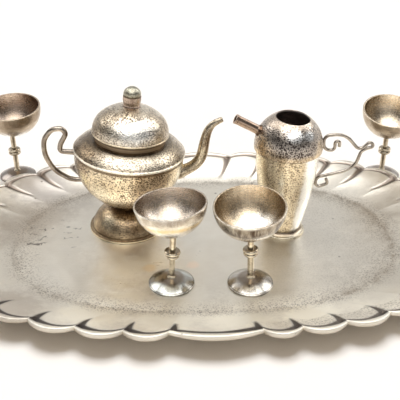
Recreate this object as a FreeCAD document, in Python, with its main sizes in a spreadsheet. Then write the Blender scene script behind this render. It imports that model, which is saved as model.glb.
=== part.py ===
import FreeCAD, Part
import math
import os
import re
import Sketcher

# Miniature silver tea set: an oval scalloped tray with a teapot, a jug and two
# goblets on it, and two more goblets on the table behind it.
# Frame: origin at the middle of the tray's flat underside, +X along the tray
# to the right, +Y to the back, +Z up, millimetres.

SIZES = {
    # tray: a rounded oval whose edge runs in lobes that meet at inward cusps
    "tray_length": 98.4,
    "tray_width": 61.4,
    "tray_corner_power": 2.42,
    "tray_side_lobes": 15,
    "tray_wide_lobe": 1.73,
    "tray_lobe_bulge": 1.6,
    "tray_height": 3.6,
    "tray_lip_width": 0.85,
    "tray_lip_depth": 1.0,
    "tray_groove_depth": 0.5,
    "tray_thickness": 0.8,
    "well_length": 73.0,
    "well_width": 45.2,
    "well_foot_margin": 0.6,
    # shared by the vessels
    "solder_gap": 0.02,
    "vessel_wall": 0.4,
    # teapot: heights are above the tray's floor, rises above the piece below
    "teapot_x": -15.5,
    "teapot_y": 5.8,
    "teapot_lean_angle": 5.5,
    "foot_bell_radius": 7.1,
    "foot_flange": 0.4,
    "foot_flange_width": 0.55,
    "foot_bell_curve": 5.6,
    "foot_bell_height": 5.2,
    "foot_neck_radius": 2.6,
    "foot_wall": 0.5,
    "bowl_bottom": 5.1,
    "bowl_radius": 10.4,
    "girdle_height": 16.6,
    "girdle_overhang": 0.25,
    "girdle_depth": 0.3,
    "shoulder_rise": 2.45,
    "shoulder_curve": 4.6,
    "neck_radius": 6.75,
    "neck_rise": 1.15,
    "neck_depth": 0.85,
    "handle_wire": 0.5,
    "spout_wall": 0.25,
    # lid
    "lid_overhang": 0.45,
    "lid_rim_width": 0.1,
    "lid_rim_depth": 0.3,
    "lid_height": 5.5,
    "lid_crown_curve": 9.0,
    "bezel_clearance": 0.1,
    "bezel_depth": 1.3,
    "finial_radius": 1.7,
    "finial_base_radius": 1.45,
    "finial_length": 1.9,
    "cap_radius": 1.62,
    "cap_edge": 0.55,
    "cap_height": 1.7,
    # jug
    "jug_x": 15.25,
    "jug_y": 2.9,
    "jug_lean_angle": 0.5,
    "jug_foot_radius": 4.4,
    "jug_foot_edge": 0.45,
    "jug_foot_height": 1.15,
    "jug_foot_top": 3.35,
    "jug_foot_curve": 1.1,
    "cup_bottom_radius": 3.55,
    "cup_top_radius": 6.05,
    "cup_curve": 75.0,
    "seam_height": 17.8,
    "dome_rise": 0.7,
    "dome_overhang": 0.4,
    "mouth_radius": 3.2,
    "mouth_lean_angle": 4.5,
    "mouth_tip_angle": 3.5,
    "tube_slope_angle": 27.5,
    "tube_radius": 0.88,
    "tube_bore": 0.62,
    "tube_reach": 11.4,
    "tube_ring": 0.05,
    "tube_ring_width": 0.45,
    "scroll_wire": 0.32,
    # goblets: heights above the surface that each stands on
    "goblet_foot_radius": 4.1,
    "goblet_foot_edge": 0.25,
    "goblet_foot_height": 1.4,
    "goblet_foot_flat": 1.5,
    "goblet_foot_curve": 6.0,
    "goblet_stem_radius": 0.56,
    "knop_waist": 1.12,
    "knop_bulge": 0.26,
    "knop_ring": 0.7,
    "goblet_bowl_radius": 6.25,
    "goblet_wall": 0.35,
}

# Each goblet: where it stands, the bottom of its knop, the bottom and top of its bowl, how
# far the bowl tips to the front, leans to the right and sits to the right of the foot's
# middle, and how far the stem leans to the right.
GOBLET_WORDS = ("x", "y", "knop", "bottom", "top", "tip", "lean", "shift", "stem_lean")
GOBLETS = {
    "goblet_front_left": (-6.7, -14.3, 5.55, 10.5, 16.4, -3.5, -4.2, 0.1, 3.0),
    "goblet_front_right": (7.2, -14.8, 6.05, 9.8, 15.8, 7.0, -2.4, -0.65, -1.9),
    "goblet_rear_left": (-42.4, 29.3, 5.5, 10.3, 17.1, 7.3, 0.0, 0.75, 0.0),
    "goblet_rear_right": (41.9, 26.9, 5.5, 9.5, 15.9, 14.3, 0.0, 0.25, 0.0),
}
ON_TRAY = ("goblet_front_left", "goblet_front_right")

# Corners of the teapot's handle, out from the axis and up from the bowl's bottom.
HANDLE = (
    (-10.1, 10.15), (-13.15, 10.15), (-13.06, 11.58), (-11.95, 13.9), (-12.76, 14.88), (-14.66, 14.55),
    (-16.17, 12.32), (-16.02, 9.22), (-14.21, 5.95), (-10.98, 4.21), (-8.28, 4.46),
)

# Stations along the teapot's spout: out, up from the bowl's bottom, slope, radius.
SPOUT = (
    (8.78, 7.06, 23.0, 1.12),
    (12.05, 8.81, 37.0, 1.1),
    (13.57, 10.74, 67.0, 1.08),
    (14.02, 13.55, 85.0, 1.0),
    (14.37, 16.16, 77.0, 0.85),
    (15.19, 17.87, 51.0, 0.65),
    (16.87, 19.1, 31.0, 0.52),
)

# Corners of the jug's scroll handle, out from the dome's side and up from the seam.
SCROLL = (
    (3.17, 0.23), (3.17, 1.28), (2.3, 1.25), (2.39, -0.66), (0.3, -0.3), (0.05, 2.49),
    (4.03, 2.77), (7.13, -0.7), (8.93, 1.28), (9.81, 0.13), (8.29, -0.22), (7.39, -0.92),
    (6.72, -3.65), (4.72, -4.99), (-0.7, -6.28), (-0.5, -8.52), (1.84, -7.59), (1.32, -6.54),
)

doc = FreeCAD.newDocument("miniature_tea_set")
sheet = doc.addObject("Spreadsheet::Sheet", "Dims")


def add_points(name, axes, rows):
    # One cell for each number of a list of points, such as handle_x3.
    for number, row in enumerate(rows):
        for axis, value in zip(axes, row):
            SIZES["%s_%s%d" % (name, axis, number)] = value


add_points("handle", "xz", HANDLE)
add_points("spout", ("x", "z", "slope", "radius"), SPOUT)
add_points("scroll", "xz", SCROLL)
for goblet, sizes in GOBLETS.items():
    for word, number in zip(GOBLET_WORDS, sizes):
        SIZES["%s_%s" % (goblet, word)] = number

for row, (alias, value) in enumerate(SIZES.items(), start=1):
    sheet.set("A%d" % row, alias)
    sheet.set("B%d" % row, str(value))
    sheet.setAlias("B%d" % row, alias)
doc.recompute()

parts = {}


def cells(text):
    # Expression text with each size's name pointed at its cell.
    def point(match):
        word = match.group()
        return "Dims." + word if word in SIZES else word
    return re.sub(r"[a-z][a-z_0-9]*", point, text)


def value(text):
    return float(sheet.evalExpression(cells(text)))


def move(x, y, z, turn="vector(0; 0; 1); 0", about="0"):
    # Expression of a placement that also turns about a point on the Z axis.
    return "placement(vector(%s; %s; %s); rotation(%s); vector(0; 0; %s))" % (x, y, z, turn, about)


def place(obj, *moves):
    obj.setExpression("Placement", cells(" * ".join(moves)))


def ball(radius, depth):
    # Radius of the ball whose cap has this rim radius and this depth.
    return "((%s)^2 + (%s)^2) / (2 * (%s))" % (radius, depth, depth)


def beside(radius, offset):
    # Radius of a ball's ring that lies this far from the ball's middle.
    return "sqrt((%s)^2 - (%s)^2)" % (radius, offset)


def plane(body, role):
    return next(f for f in body.Origin.OriginFeatures if f.Role == role)


def new_sketch(body, name, role="XZ_Plane"):
    sketch = body.newObject("Sketcher::SketchObject", name)
    sketch.AttachmentSupport = [(plane(body, role), "")]
    sketch.MapMode = "FlatFace"
    return sketch


def pin(sketch, geometry, end, x, y):
    # Fix one point of the sketch by its two coordinates.
    for kind, text, axis in (("DistanceX", x, -2), ("DistanceY", y, -1)):
        if text == "0":
            sketch.addConstraint(Sketcher.Constraint("PointOnObject", geometry, end, axis))
            continue
        index = sketch.addConstraint(
            Sketcher.Constraint(kind, -1, 1, geometry, end, value(text)))
        sketch.setExpression("Constraints[%d]" % index, cells(text))


def size(sketch, geometry, text, kind="Radius"):
    index = sketch.addConstraint(Sketcher.Constraint(kind, geometry, value(text)))
    sketch.setExpression("Constraints[%d]" % index, cells(text))


def arc_between(start, end, radius, side):
    # Shorter arc from start to end, its centre to the left (side 1) or right (-1).
    chord = end - start
    normal = FreeCAD.Vector(-chord.y, chord.x, 0).normalize()
    centre = (start + end) * 0.5 + normal * side * math.sqrt(radius**2 - chord.Length**2 / 4)
    first, last = (start, end) if side > 0 else (end, start)
    angles = [math.atan2(p.y - centre.y, p.x - centre.x) for p in (first, last)]
    if angles[1] < angles[0]:
        angles[1] += 2 * math.pi
    circle = Part.Circle(centre, FreeCAD.Vector(0, 0, 1), radius)
    return Part.ArcOfCircle(circle, *angles)


def turned(name, outline, arcs):
    # Body turned about its Z axis. The outline lists radius and height; arcs
    # gives the radius and the side of the centre for the edges that are round.
    body = doc.addObject("PartDesign::Body", name)
    sketch = new_sketch(body, name + "_outline")
    points = [FreeCAD.Vector(value(x), value(y), 0) for x, y in outline]
    ends = []
    for number, start in enumerate(points):
        end = points[(number + 1) % len(points)]
        if number in arcs:
            text, side = arcs[number]
            edge = sketch.addGeometry(arc_between(start, end, value(text), side))
            size(sketch, edge, text)
            ends.append((edge, 1, 2) if side > 0 else (edge, 2, 1))
        else:
            edge = sketch.addGeometry(Part.LineSegment(start, end))
            ends.append((edge, 1, 2))
    for number, (edge, first, last) in enumerate(ends):
        after = ends[(number + 1) % len(ends)]
        sketch.addConstraint(Sketcher.Constraint("Coincident", edge, last, after[0], after[1]))
        pin(sketch, edge, first, *outline[number])
    revolution = body.newObject("PartDesign::Revolution", name + "_turned")
    revolution.Profile = sketch
    revolution.ReferenceAxis = (sketch, ["V_Axis"])
    revolution.Angle = 360
    body.Tip = revolution
    return body


def bent_wire(name, corners, thickness, start_plane):
    # Round wire along straight runs joined by tangent arcs in the XZ plane. Its
    # first run leaves the start plane square.
    body = doc.addObject("PartDesign::Body", name)
    path = new_sketch(body, name + "_path")
    points = [FreeCAD.Vector(value(x), value(z), 0) for x, z in corners]
    runs = [b - a for a, b in zip(points, points[1:])]
    radii, cuts = [], []
    for before, after in zip(runs, runs[1:]):
        reach = 0.45 * min(before.Length, after.Length)
        radii.append(reach / math.tan(before.getAngle(after) / 2))
        cuts.append(reach)
    starts = [points[0]] + [p + r.normalize() * c for p, r, c in
                            zip(points[1:-1], [FreeCAD.Vector(r) for r in runs[1:]], cuts)]
    stops = [p - r.normalize() * c for p, r, c in
             zip(points[1:-1], [FreeCAD.Vector(r) for r in runs[:-1]], cuts)] + [points[-1]]
    lines = [path.addGeometry(Part.LineSegment(a, b)) for a, b in zip(starts, stops)]
    for number, radius in enumerate(radii):
        before, after = runs[number], runs[number + 1]
        side = 1 if before.x * after.y - before.y * after.x > 0 else -1
        arc = path.addGeometry(arc_between(stops[number], starts[number + 1], radius, side))
        first, last = (1, 2) if side > 0 else (2, 1)
        path.addConstraint(Sketcher.Constraint("Tangent", lines[number], 2, arc, first))
        path.addConstraint(Sketcher.Constraint("Tangent", arc, last, lines[number + 1], 1))
        path.addConstraint(Sketcher.Constraint("Radius", arc, radius))
        corner = path.addGeometry(Part.Point(points[number + 1]), True)
        path.addConstraint(Sketcher.Constraint("PointOnObject", corner, 1, lines[number]))
        path.addConstraint(Sketcher.Constraint("PointOnObject", corner, 1, lines[number + 1]))
        pin(path, corner, 1, *corners[number + 1])
    pin(path, lines[0], 1, *corners[0])
    pin(path, lines[-1], 2, *corners[-1])
    ring = new_sketch(body, name + "_section", start_plane)
    x, z = corners[0]
    offset = "vector(%s; 0; %s)" % (x, z) if start_plane == "XY_Plane" else "vector(0; %s; %s)" % (z, x)
    ring.setExpression("AttachmentOffset", cells("placement(%s; rotation(vector(0; 0; 1); 0))" % offset))
    circle = ring.addGeometry(Part.Circle(FreeCAD.Vector(), FreeCAD.Vector(0, 0, 1), value(thickness)))
    ring.addConstraint(Sketcher.Constraint("Coincident", circle, 3, -1, 1))
    size(ring, circle, thickness)
    doc.recompute()
    pipe = body.newObject("PartDesign::AdditivePipe", name + "_wire")
    pipe.Profile = ring
    pipe.Spine = (path, [])
    body.Tip = pipe
    doc.recompute()
    bends = sum(r * a.getAngle(b) for r, a, b in zip(radii, runs, runs[1:]))
    length = sum((b - a).Length for a, b in zip(starts, stops)) + bends
    ratio = body.Shape.Volume / (math.pi * value(thickness)**2 * length)
    if abs(ratio - 1) > 0.02:
        raise ValueError("%s: swept volume is %.3f of its section times its length" % (name, ratio))
    return body


def cut(name, base, tool):
    # Boolean cut, as an object of the document.
    result = doc.addObject("Part::Cut", name)
    result.Base = base
    result.Tool = tool
    return result


def finish(name, obj):
    obj.Label = name
    parts[name] = obj


def oval_point(angle, length, width, height):
    power = value("tray_corner_power")
    cos, sin = math.cos(angle), math.sin(angle)
    reach = (abs(2 * cos / length)**power + abs(2 * sin / width)**power)**(-1 / power)
    return FreeCAD.Vector(reach * cos, reach * sin, height)


def lobe_angles():
    # Angles of the cusps, and of the points halfway between them: a wide lobe
    # at the front and one at the back, with equal lobes along each side.
    steps = 3600
    length, width = value("tray_length"), value("tray_width")
    angles = [2 * math.pi * i / steps - math.pi / 2 for i in range(steps + 1)]
    points = [oval_point(a, length, width, 0) for a in angles]
    walked = [0.0]
    for a, b in zip(points, points[1:]):
        walked.append(walked[-1] + (b - a).Length)
    side, wide = int(value("tray_side_lobes")), value("tray_wide_lobe")
    pitch = walked[-1] / (2 * side + 2 * wide)
    spans = ([pitch] * side + [wide * pitch]) * 2
    stations = [wide * pitch / 2]
    for span in spans:
        stations.append(stations[-1] + span)
    middles = [(a + b) / 2 for a, b in zip(stations, stations[1:])]

    def angle_at(station):
        turns, rest = divmod(station, walked[-1])
        index = max(i for i in range(steps) if walked[i] <= rest)
        share = (rest - walked[index]) / (walked[index + 1] - walked[index])
        return angles[index] + share * 2 * math.pi / steps + turns * 2 * math.pi

    return [angle_at(s) for s in stations[:-1]], [angle_at(s) for s in middles]


def ring_of_arcs(cusps, middles, length, width, height, bulge=None):
    # Closed outline of one arc for each lobe. With no bulge it follows the oval.
    corners = [oval_point(a, length, width, height) for a in cusps]
    edges = []
    for number, start in enumerate(corners):
        end = corners[(number + 1) % len(corners)]
        if bulge is None:
            middle = oval_point(middles[number], length, width, height)
        else:
            chord = end - start
            out = FreeCAD.Vector(chord.y, -chord.x, 0).normalize()
            middle = (start + end) * 0.5 + out * bulge
        edges.append(Part.Arc(start, middle, end).toShape())
    return Part.Wire(edges)


def make_tray():
    cusps, middles = lobe_angles()
    length, width = value("tray_length"), value("tray_width")
    lip, bulge = value("tray_lip_width"), value("tray_lobe_bulge")
    top = value("tray_height")
    floor, groove = value("tray_thickness"), top - value("tray_groove_depth")
    well = value("well_length"), value("well_width")
    foot = [w + 2 * value("well_foot_margin") for w in well]
    outer = Part.makeLoft([
        ring_of_arcs(cusps, middles, foot[0], foot[1], 0),
        ring_of_arcs(cusps, middles, length, width, top - value("tray_lip_depth"), bulge),
        ring_of_arcs(cusps, middles, length, width, top, bulge),
    ], True, True)
    inside = length - 2 * lip, width - 2 * lip
    hollow = Part.makeLoft([
        ring_of_arcs(cusps, middles, well[0], well[1], floor),
        ring_of_arcs(cusps, middles, inside[0], inside[1], groove, bulge),
        ring_of_arcs(cusps, middles, inside[0], inside[1], top + floor, bulge),
    ], True, True)
    return outer.cut(hollow)


# The lobes' ends come from the oval's arc length, which no sketch can bind.
tray = doc.addObject("Part::Feature", "tray")
tray.Shape = make_tray()
finish("tray", tray)

# The teapot's foot stands flat, and the rest leans about the foot's top.
on_teapot = move("teapot_x", "teapot_y", "tray_thickness",
                 "vector(0; 1; 0); teapot_lean_angle", "bowl_bottom")
bowl_ball = ball("bowl_radius", "girdle_height - bowl_bottom")
bowl_middle = "bowl_bottom + " + bowl_ball
bowl_inside = "%s - vessel_wall" % bowl_ball

core = doc.addObject("Part::Sphere", "teapot_core")
core.setExpression("Radius", cells(bowl_ball + " + solder_gap"))
place(core, on_teapot, move("0", "0", bowl_middle))

foot_radius = "foot_bell_radius + foot_flange_width"
foot = turned("teapot_foot_bell", [
    ("0", "foot_bell_height - foot_wall"),
    ("foot_neck_radius - foot_wall", "foot_bell_height - foot_wall"),
    ("foot_bell_radius - foot_wall", "0"),
    (foot_radius, "0"),
    (foot_radius, "foot_flange"),
    ("foot_bell_radius", "foot_flange"),
    ("foot_neck_radius", "foot_bell_height"),
    ("foot_neck_radius", "bowl_bottom + vessel_wall * 2"),
    ("0", "bowl_bottom + vessel_wall * 2"),
], {1: ("foot_bell_curve", -1), 5: ("foot_bell_curve", 1)})
place(foot, move("teapot_x", "teapot_y", "tray_thickness"))
finish("teapot_foot", cut("teapot_foot", foot, core))

bowl = turned("teapot_bowl_shell", [
    ("0", "bowl_bottom"),
    ("bowl_radius", "girdle_height"),
    (beside(bowl_inside, "girdle_height - bowl_bottom - " + bowl_ball), "girdle_height"),
    ("0", "bowl_bottom + vessel_wall"),
], {0: (bowl_ball, 1), 2: (bowl_inside, -1)})
place(bowl, on_teapot)

girdle_radius = "bowl_radius + girdle_overhang"
shoulder_top = "girdle_height + shoulder_rise"
shoulder = turned("teapot_shoulder", [
    ("bowl_radius - vessel_wall", "girdle_height"),
    (girdle_radius, "girdle_height"),
    (girdle_radius, "girdle_height + girdle_depth"),
    ("neck_radius + solder_gap", shoulder_top),
    ("neck_radius + solder_gap", shoulder_top + " - vessel_wall"),
], {2: ("shoulder_curve", 1), 4: ("shoulder_curve", -1)})
place(shoulder, on_teapot)
finish("teapot_shoulder", shoulder)

neck_bottom = shoulder_top + " - neck_depth"
neck_top = shoulder_top + " + neck_rise"
neck = turned("teapot_neck", [
    ("neck_radius - vessel_wall", neck_bottom),
    ("neck_radius", neck_bottom),
    ("neck_radius", neck_top),
    ("neck_radius - vessel_wall", neck_top),
], {})
place(neck, on_teapot)
finish("teapot_neck", neck)


def up_bowl(text):
    return "bowl_bottom + " + text


corners = [("handle_x%d" % i, up_bowl("handle_z%d" % i)) for i in range(len(HANDLE))]
handle = bent_wire("teapot_handle_wire", corners, "handle_wire", "YZ_Plane")
place(handle, on_teapot)
finish("teapot_handle", cut("teapot_handle", handle, core))


def spout_sections(body, name, shrink):
    sections = []
    for i in range(len(SPOUT)):
        section = new_sketch(body, "%s_%d" % (name, i), "XY_Plane")
        section.setExpression("AttachmentOffset", cells(
            "placement(vector(spout_x%d; 0; bowl_bottom + spout_z%d);"
            " rotation(vector(0; 1; 0); 90 - spout_slope%d))" % (i, i, i)))
        radius = "spout_radius%d%s" % (i, shrink)
        circle = section.addGeometry(
            Part.Circle(FreeCAD.Vector(), FreeCAD.Vector(0, 0, 1), value(radius)))
        section.addConstraint(Sketcher.Constraint("Coincident", circle, 3, -1, 1))
        size(section, circle, radius)
        sections.append(section)
    return sections


spout = doc.addObject("PartDesign::Body", "teapot_spout_tube")
volumes = []
for kind, name, shrink in (("AdditiveLoft", "outside", ""), ("SubtractiveLoft", "bore", " - spout_wall")):
    sections = spout_sections(spout, "spout_" + name, shrink)
    doc.recompute()
    loft = spout.newObject("PartDesign::" + kind, "spout_" + name)
    loft.Profile = sections[0]
    loft.Sections = sections[1:]
    spout.Tip = loft
    doc.recompute()
    volumes.append(spout.Shape.Volume)
if volumes[1] > 0.8 * volumes[0]:
    raise ValueError("the spout's bore cut nothing")
place(spout, on_teapot)
finish("teapot_spout", cut("teapot_spout", spout, core))

passage = doc.addObject("Part::Cylinder", "spout_passage")
passage.setExpression("Radius", cells("spout_radius0 - spout_wall"))
passage.setExpression("Height", cells("2 * spout_x0"))
place(passage, on_teapot, move("0", "0", "bowl_bottom + spout_z0 - spout_x0 * tan(spout_slope0 * 1 deg)",
                               "vector(0; 1; 0); 90 - spout_slope0"))
finish("teapot_bowl", cut("teapot_bowl", bowl, passage))

# The lid's dome is a shallow crown that runs into a rounder side.
rim_top = neck_top + " + lid_rim_depth"
lid_top = neck_top + " + lid_height"
crown_middle = lid_top + " - lid_crown_curve"
crown_drop = "lid_rim_depth - lid_height + lid_crown_curve"
lid_radius = "(neck_radius + lid_overhang)"
side_curve = "(lid_crown_curve^2 - %s^2 - (%s)^2) / (2 * (lid_crown_curve - %s))" % (
    lid_radius, crown_drop, lid_radius)
crown_share = "(%s - %s) / (lid_crown_curve - %s)" % (lid_radius, side_curve, side_curve)
crown_inside = "lid_crown_curve - vessel_wall"
bezel_radius = "neck_radius - vessel_wall - bezel_clearance"


def crown_end(radius):
    # Where the lid's crown meets its side, on an arc of this radius about the crown's middle.
    out = "(%s) * %s" % (radius, crown_share)
    return out, "%s + %s" % (crown_middle, beside(radius, out))


dome = turned("lid_dome", [
    (lid_radius + " - vessel_wall", rim_top),
    (lid_radius, rim_top),
    crown_end("lid_crown_curve"),
    ("0", lid_top),
    ("0", lid_top + " - vessel_wall"),
    crown_end(crown_inside),
], {
    1: (side_curve, 1),
    2: ("lid_crown_curve", 1),
    4: (crown_inside, -1),
    5: (side_curve + " - vessel_wall", -1),
})
rim = turned("lid_rim", [
    (bezel_radius + " - vessel_wall", neck_top),
    (lid_radius + " + lid_rim_width", neck_top),
    (lid_radius + " + lid_rim_width", rim_top),
    (bezel_radius + " - vessel_wall", rim_top),
], {})
bezel = turned("lid_bezel", [
    (bezel_radius + " - vessel_wall", neck_top + " - bezel_depth"),
    (bezel_radius, neck_top + " - bezel_depth"),
    (bezel_radius, neck_top),
    (bezel_radius + " - vessel_wall", neck_top),
], {})
seat = "lid_crown_curve + solder_gap"
finial_top = lid_top + " + finial_length"
stem = turned("lid_finial_stem", [
    ("0", lid_top + " + solder_gap"),
    ("finial_base_radius", "%s + %s" % (crown_middle, beside(seat, "finial_base_radius"))),
    ("finial_radius", finial_top),
    ("0", finial_top),
], {0: (seat, -1)})
cap = turned("lid_finial_cap", [
    ("0", finial_top),
    ("cap_radius", finial_top),
    ("cap_radius", finial_top + " + cap_edge"),
    ("0", finial_top + " + cap_height"),
], {2: (ball("cap_radius", "cap_height - cap_edge"), 1)})
for name, obj in (("lid_dome", dome), ("lid_rim", rim), ("lid_bezel", bezel),
                  ("lid_finial_stem", stem), ("lid_finial_cap", cap)):
    place(obj, on_teapot)
    finish(name, obj)

# The jug's foot stands flat, and the rest leans about the foot's top.
on_jug = move("jug_x", "jug_y", "tray_thickness", "vector(0; 1; 0); jug_lean_angle", "jug_foot_height")
dome_centre = "seam_height + dome_rise"
dome_radius = "cup_top_radius + dome_overhang"
dome_rim = beside(dome_radius, "dome_rise")
dome_inside = dome_radius + " - vessel_wall"
cup_underside = doc.addObject("Part::Cylinder", "jug_cup_underside")
cup_underside.setExpression("Radius", cells("jug_foot_radius"))
cup_underside.setExpression("Height", cells("jug_foot_height"))
place(cup_underside, on_jug, move("0", "0", "jug_foot_height - solder_gap"))
jug_foot = turned("jug_foot_blank", [
    ("0", "0"),
    ("jug_foot_radius", "0"),
    ("jug_foot_radius", "jug_foot_edge"),
    ("jug_foot_top", "jug_foot_height"),
    ("jug_foot_top", "jug_foot_height + vessel_wall"),
    ("0", "jug_foot_height + vessel_wall"),
], {2: ("jug_foot_curve", -1)})
place(jug_foot, move("jug_x", "jug_y", "tray_thickness"))
finish("jug_foot", cut("jug_foot", jug_foot, cup_underside))

cup = turned("jug_cup", [
    ("0", "jug_foot_height"),
    ("cup_bottom_radius", "jug_foot_height"),
    ("cup_top_radius", "seam_height"),
    ("cup_top_radius - vessel_wall", "seam_height"),
    ("cup_bottom_radius - vessel_wall", "jug_foot_height + vessel_wall"),
    ("0", "jug_foot_height + vessel_wall"),
], {1: ("cup_curve", 1), 3: ("cup_curve", -1)})
place(cup, on_jug)
finish("jug_cup", cup)

jug_dome = turned("jug_dome_shell", [
    (beside(dome_inside, "dome_rise"), "seam_height"),
    (dome_rim, "seam_height"),
    ("0", "%s + %s" % (dome_centre, dome_radius)),
    ("0", "%s + %s" % (dome_centre, dome_inside)),
], {1: (dome_radius, 1), 3: (dome_inside, -1)})
place(jug_dome, on_jug)

along_tube = move("0", "0", dome_centre, "vector(0; 1; 0); tube_slope_angle - 90")
tube_seat = dome_radius + " + solder_gap"
tube = turned("jug_spout", [
    ("tube_bore", beside(tube_seat, "tube_bore")),
    ("tube_radius", beside(tube_seat, "tube_radius")),
    ("tube_radius", "tube_reach - tube_ring_width"),
    ("tube_radius + tube_ring", "tube_reach - tube_ring_width"),
    ("tube_radius + tube_ring", "tube_reach"),
    ("tube_bore", "tube_reach"),
], {0: (tube_seat, -1)})
place(tube, on_jug, along_tube)
finish("jug_spout", tube)


def dome_hole(name, radius, *turns):
    # Cylinder from the dome's middle out through its side.
    hole = doc.addObject("Part::Cylinder", name)
    hole.setExpression("Radius", cells(radius))
    hole.setExpression("Height", cells("tube_reach"))
    place(hole, on_jug, *turns)
    return hole


tube_hole = dome_hole("tube_hole", "tube_bore", along_tube)
mouth = dome_hole("jug_mouth", "mouth_radius",
                  move("0", "0", dome_centre, "vector(0; 1; 0); mouth_lean_angle"),
                  move("0", "0", "0", "vector(1; 0; 0); mouth_tip_angle"))
finish("jug_dome", cut("jug_dome", cut("jug_dome_with_mouth", jug_dome, mouth), tube_hole))

jug_core = turned("jug_core", [
    ("0", "jug_foot_height"),
    ("cup_bottom_radius + solder_gap", "jug_foot_height"),
    ("cup_top_radius + solder_gap", "seam_height"),
    (beside(tube_seat, "dome_rise"), "seam_height"),
    ("0", "%s + %s" % (dome_centre, tube_seat)),
], {1: ("cup_curve", 1), 3: (tube_seat, 1)})
place(jug_core, on_jug)
corners = [("%s + scroll_x%d" % (dome_radius, i), "seam_height + scroll_z%d" % i)
           for i in range(len(SCROLL))]
scroll = bent_wire("jug_handle_wire", corners, "scroll_wire", "XY_Plane")
place(scroll, on_jug)
finish("jug_handle", cut("jug_handle", scroll, jug_core))

knop_bore = "goblet_stem_radius + solder_gap"
knop_bead = ball("knop_ring / 2", "knop_bulge")

for goblet in GOBLETS:
    knop, bottom, top = (goblet + "_" + word for word in ("knop", "bottom", "top"))
    depth = "%s - %s" % (top, bottom)
    outside = ball("goblet_bowl_radius", depth)
    inside = outside + " - goblet_wall"
    stem_top = bottom + " - 2 * solder_gap"
    knop_top = knop + " + 2 * knop_ring"
    pieces = {
        "foot": turned(goblet + "_foot", [
            ("0", "0"),
            ("goblet_foot_radius", "0"),
            ("goblet_foot_radius", "goblet_foot_edge"),
            ("goblet_foot_flat", "goblet_foot_height"),
            ("0", "goblet_foot_height"),
        ], {2: ("goblet_foot_curve", 1)}),
        "stem": turned(goblet + "_stem", [
            ("0", "goblet_foot_height"),
            ("goblet_stem_radius", "goblet_foot_height"),
            ("goblet_stem_radius", stem_top),
            ("0", stem_top),
        ], {}),
        "knop": turned(goblet + "_knop", [
            (knop_bore, knop),
            ("knop_waist", knop),
            ("knop_waist", knop + " + knop_ring"),
            ("knop_waist", knop_top),
            (knop_bore, knop_top),
        ], {1: (knop_bead, 1), 2: (knop_bead, 1)}),
        "bowl": turned(goblet + "_bowl", [
            ("0", bottom),
            ("goblet_bowl_radius", top),
            (beside(inside, "%s - %s" % (depth, outside)), top),
            ("0", bottom + " + goblet_wall"),
        ], {0: (outside, 1), 2: (inside, -1)}),
    }
    base = move(goblet + "_x", goblet + "_y", "tray_thickness" if goblet in ON_TRAY else "0")
    middle = "%s + %s" % (bottom, outside)
    leaning = [move("0", "0", "0", "vector(0; 1; 0); %s_stem_lean" % goblet, "goblet_foot_height")]
    turns = {
        "foot": [],
        "stem": leaning,
        "knop": leaning,
        "bowl": [move(goblet + "_shift", "0", "0", "vector(1; 0; 0); %s_tip" % goblet, middle),
                 move("0", "0", "0", "vector(0; 1; 0); %s_lean" % goblet, middle)],
    }
    for piece, obj in pieces.items():
        place(obj, base, *turns[piece])
        finish("%s_%s" % (goblet, piece), obj)

doc.recompute()
for obj in doc.Objects:
    if "Invalid" in obj.State or "Error" in obj.State:
        raise ValueError("%s did not build: %s" % (obj.Name, obj.State))
for name, obj in parts.items():
    shape = obj.Shape
    if shape.isNull() or not shape.isValid() or not shape.Solids:
        raise ValueError("%s has no valid solid" % name)

os.makedirs("parts", exist_ok=True)
for name, obj in parts.items():
    obj.Shape.exportStep("parts/%s.step" % name)
    print("%-28s %2d solid  %9.3f mm3" % (name, len(obj.Shape.Solids), obj.Shape.Volume))
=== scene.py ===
import math
import re

import bmesh
import bpy
import numpy as np
from mathutils import Matrix, Vector


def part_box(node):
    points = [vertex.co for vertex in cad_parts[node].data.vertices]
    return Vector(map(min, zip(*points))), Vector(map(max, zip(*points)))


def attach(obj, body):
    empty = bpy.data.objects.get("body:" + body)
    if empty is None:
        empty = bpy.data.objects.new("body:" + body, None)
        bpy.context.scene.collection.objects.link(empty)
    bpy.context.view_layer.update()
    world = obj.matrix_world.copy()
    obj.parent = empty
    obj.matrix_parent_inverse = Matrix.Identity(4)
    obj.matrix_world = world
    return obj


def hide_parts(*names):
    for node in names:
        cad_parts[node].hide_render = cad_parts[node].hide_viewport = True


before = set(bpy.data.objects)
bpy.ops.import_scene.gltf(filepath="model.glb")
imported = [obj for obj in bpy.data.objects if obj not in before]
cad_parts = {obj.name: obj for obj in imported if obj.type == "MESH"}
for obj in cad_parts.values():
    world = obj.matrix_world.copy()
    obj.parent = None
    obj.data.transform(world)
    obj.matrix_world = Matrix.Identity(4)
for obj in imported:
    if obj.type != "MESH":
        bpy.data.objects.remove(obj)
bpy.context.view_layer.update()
mm = 0.001
sharpEdge = math.radians(38)
print("frame loaded")


def footOf(node):
    # Middle of a node's underside, in millimetres.
    low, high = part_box(node)
    return (low.x + high.x) / 2 / mm, (low.y + high.y) / 2 / mm, low.z / mm


def leant(pivot, lean=0, tip=0):
    # Turn to the right by lean and to the front by tip, about a height on the axis.
    turn = Matrix.Rotation(math.radians(tip), 4, "X") @ Matrix.Rotation(math.radians(lean), 4, "Y")
    return Matrix.Translation((0, 0, pivot)) @ turn @ Matrix.Translation((0, 0, -pivot))


def ball(radius, depth):
    # Radius of the ball whose cap is this wide and deep.
    return (radius**2 + depth**2) / (2 * depth)


def beside(radius, offset):
    return math.sqrt(radius**2 - offset**2)


# Outlines of turned pieces, in millimetres.

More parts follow.
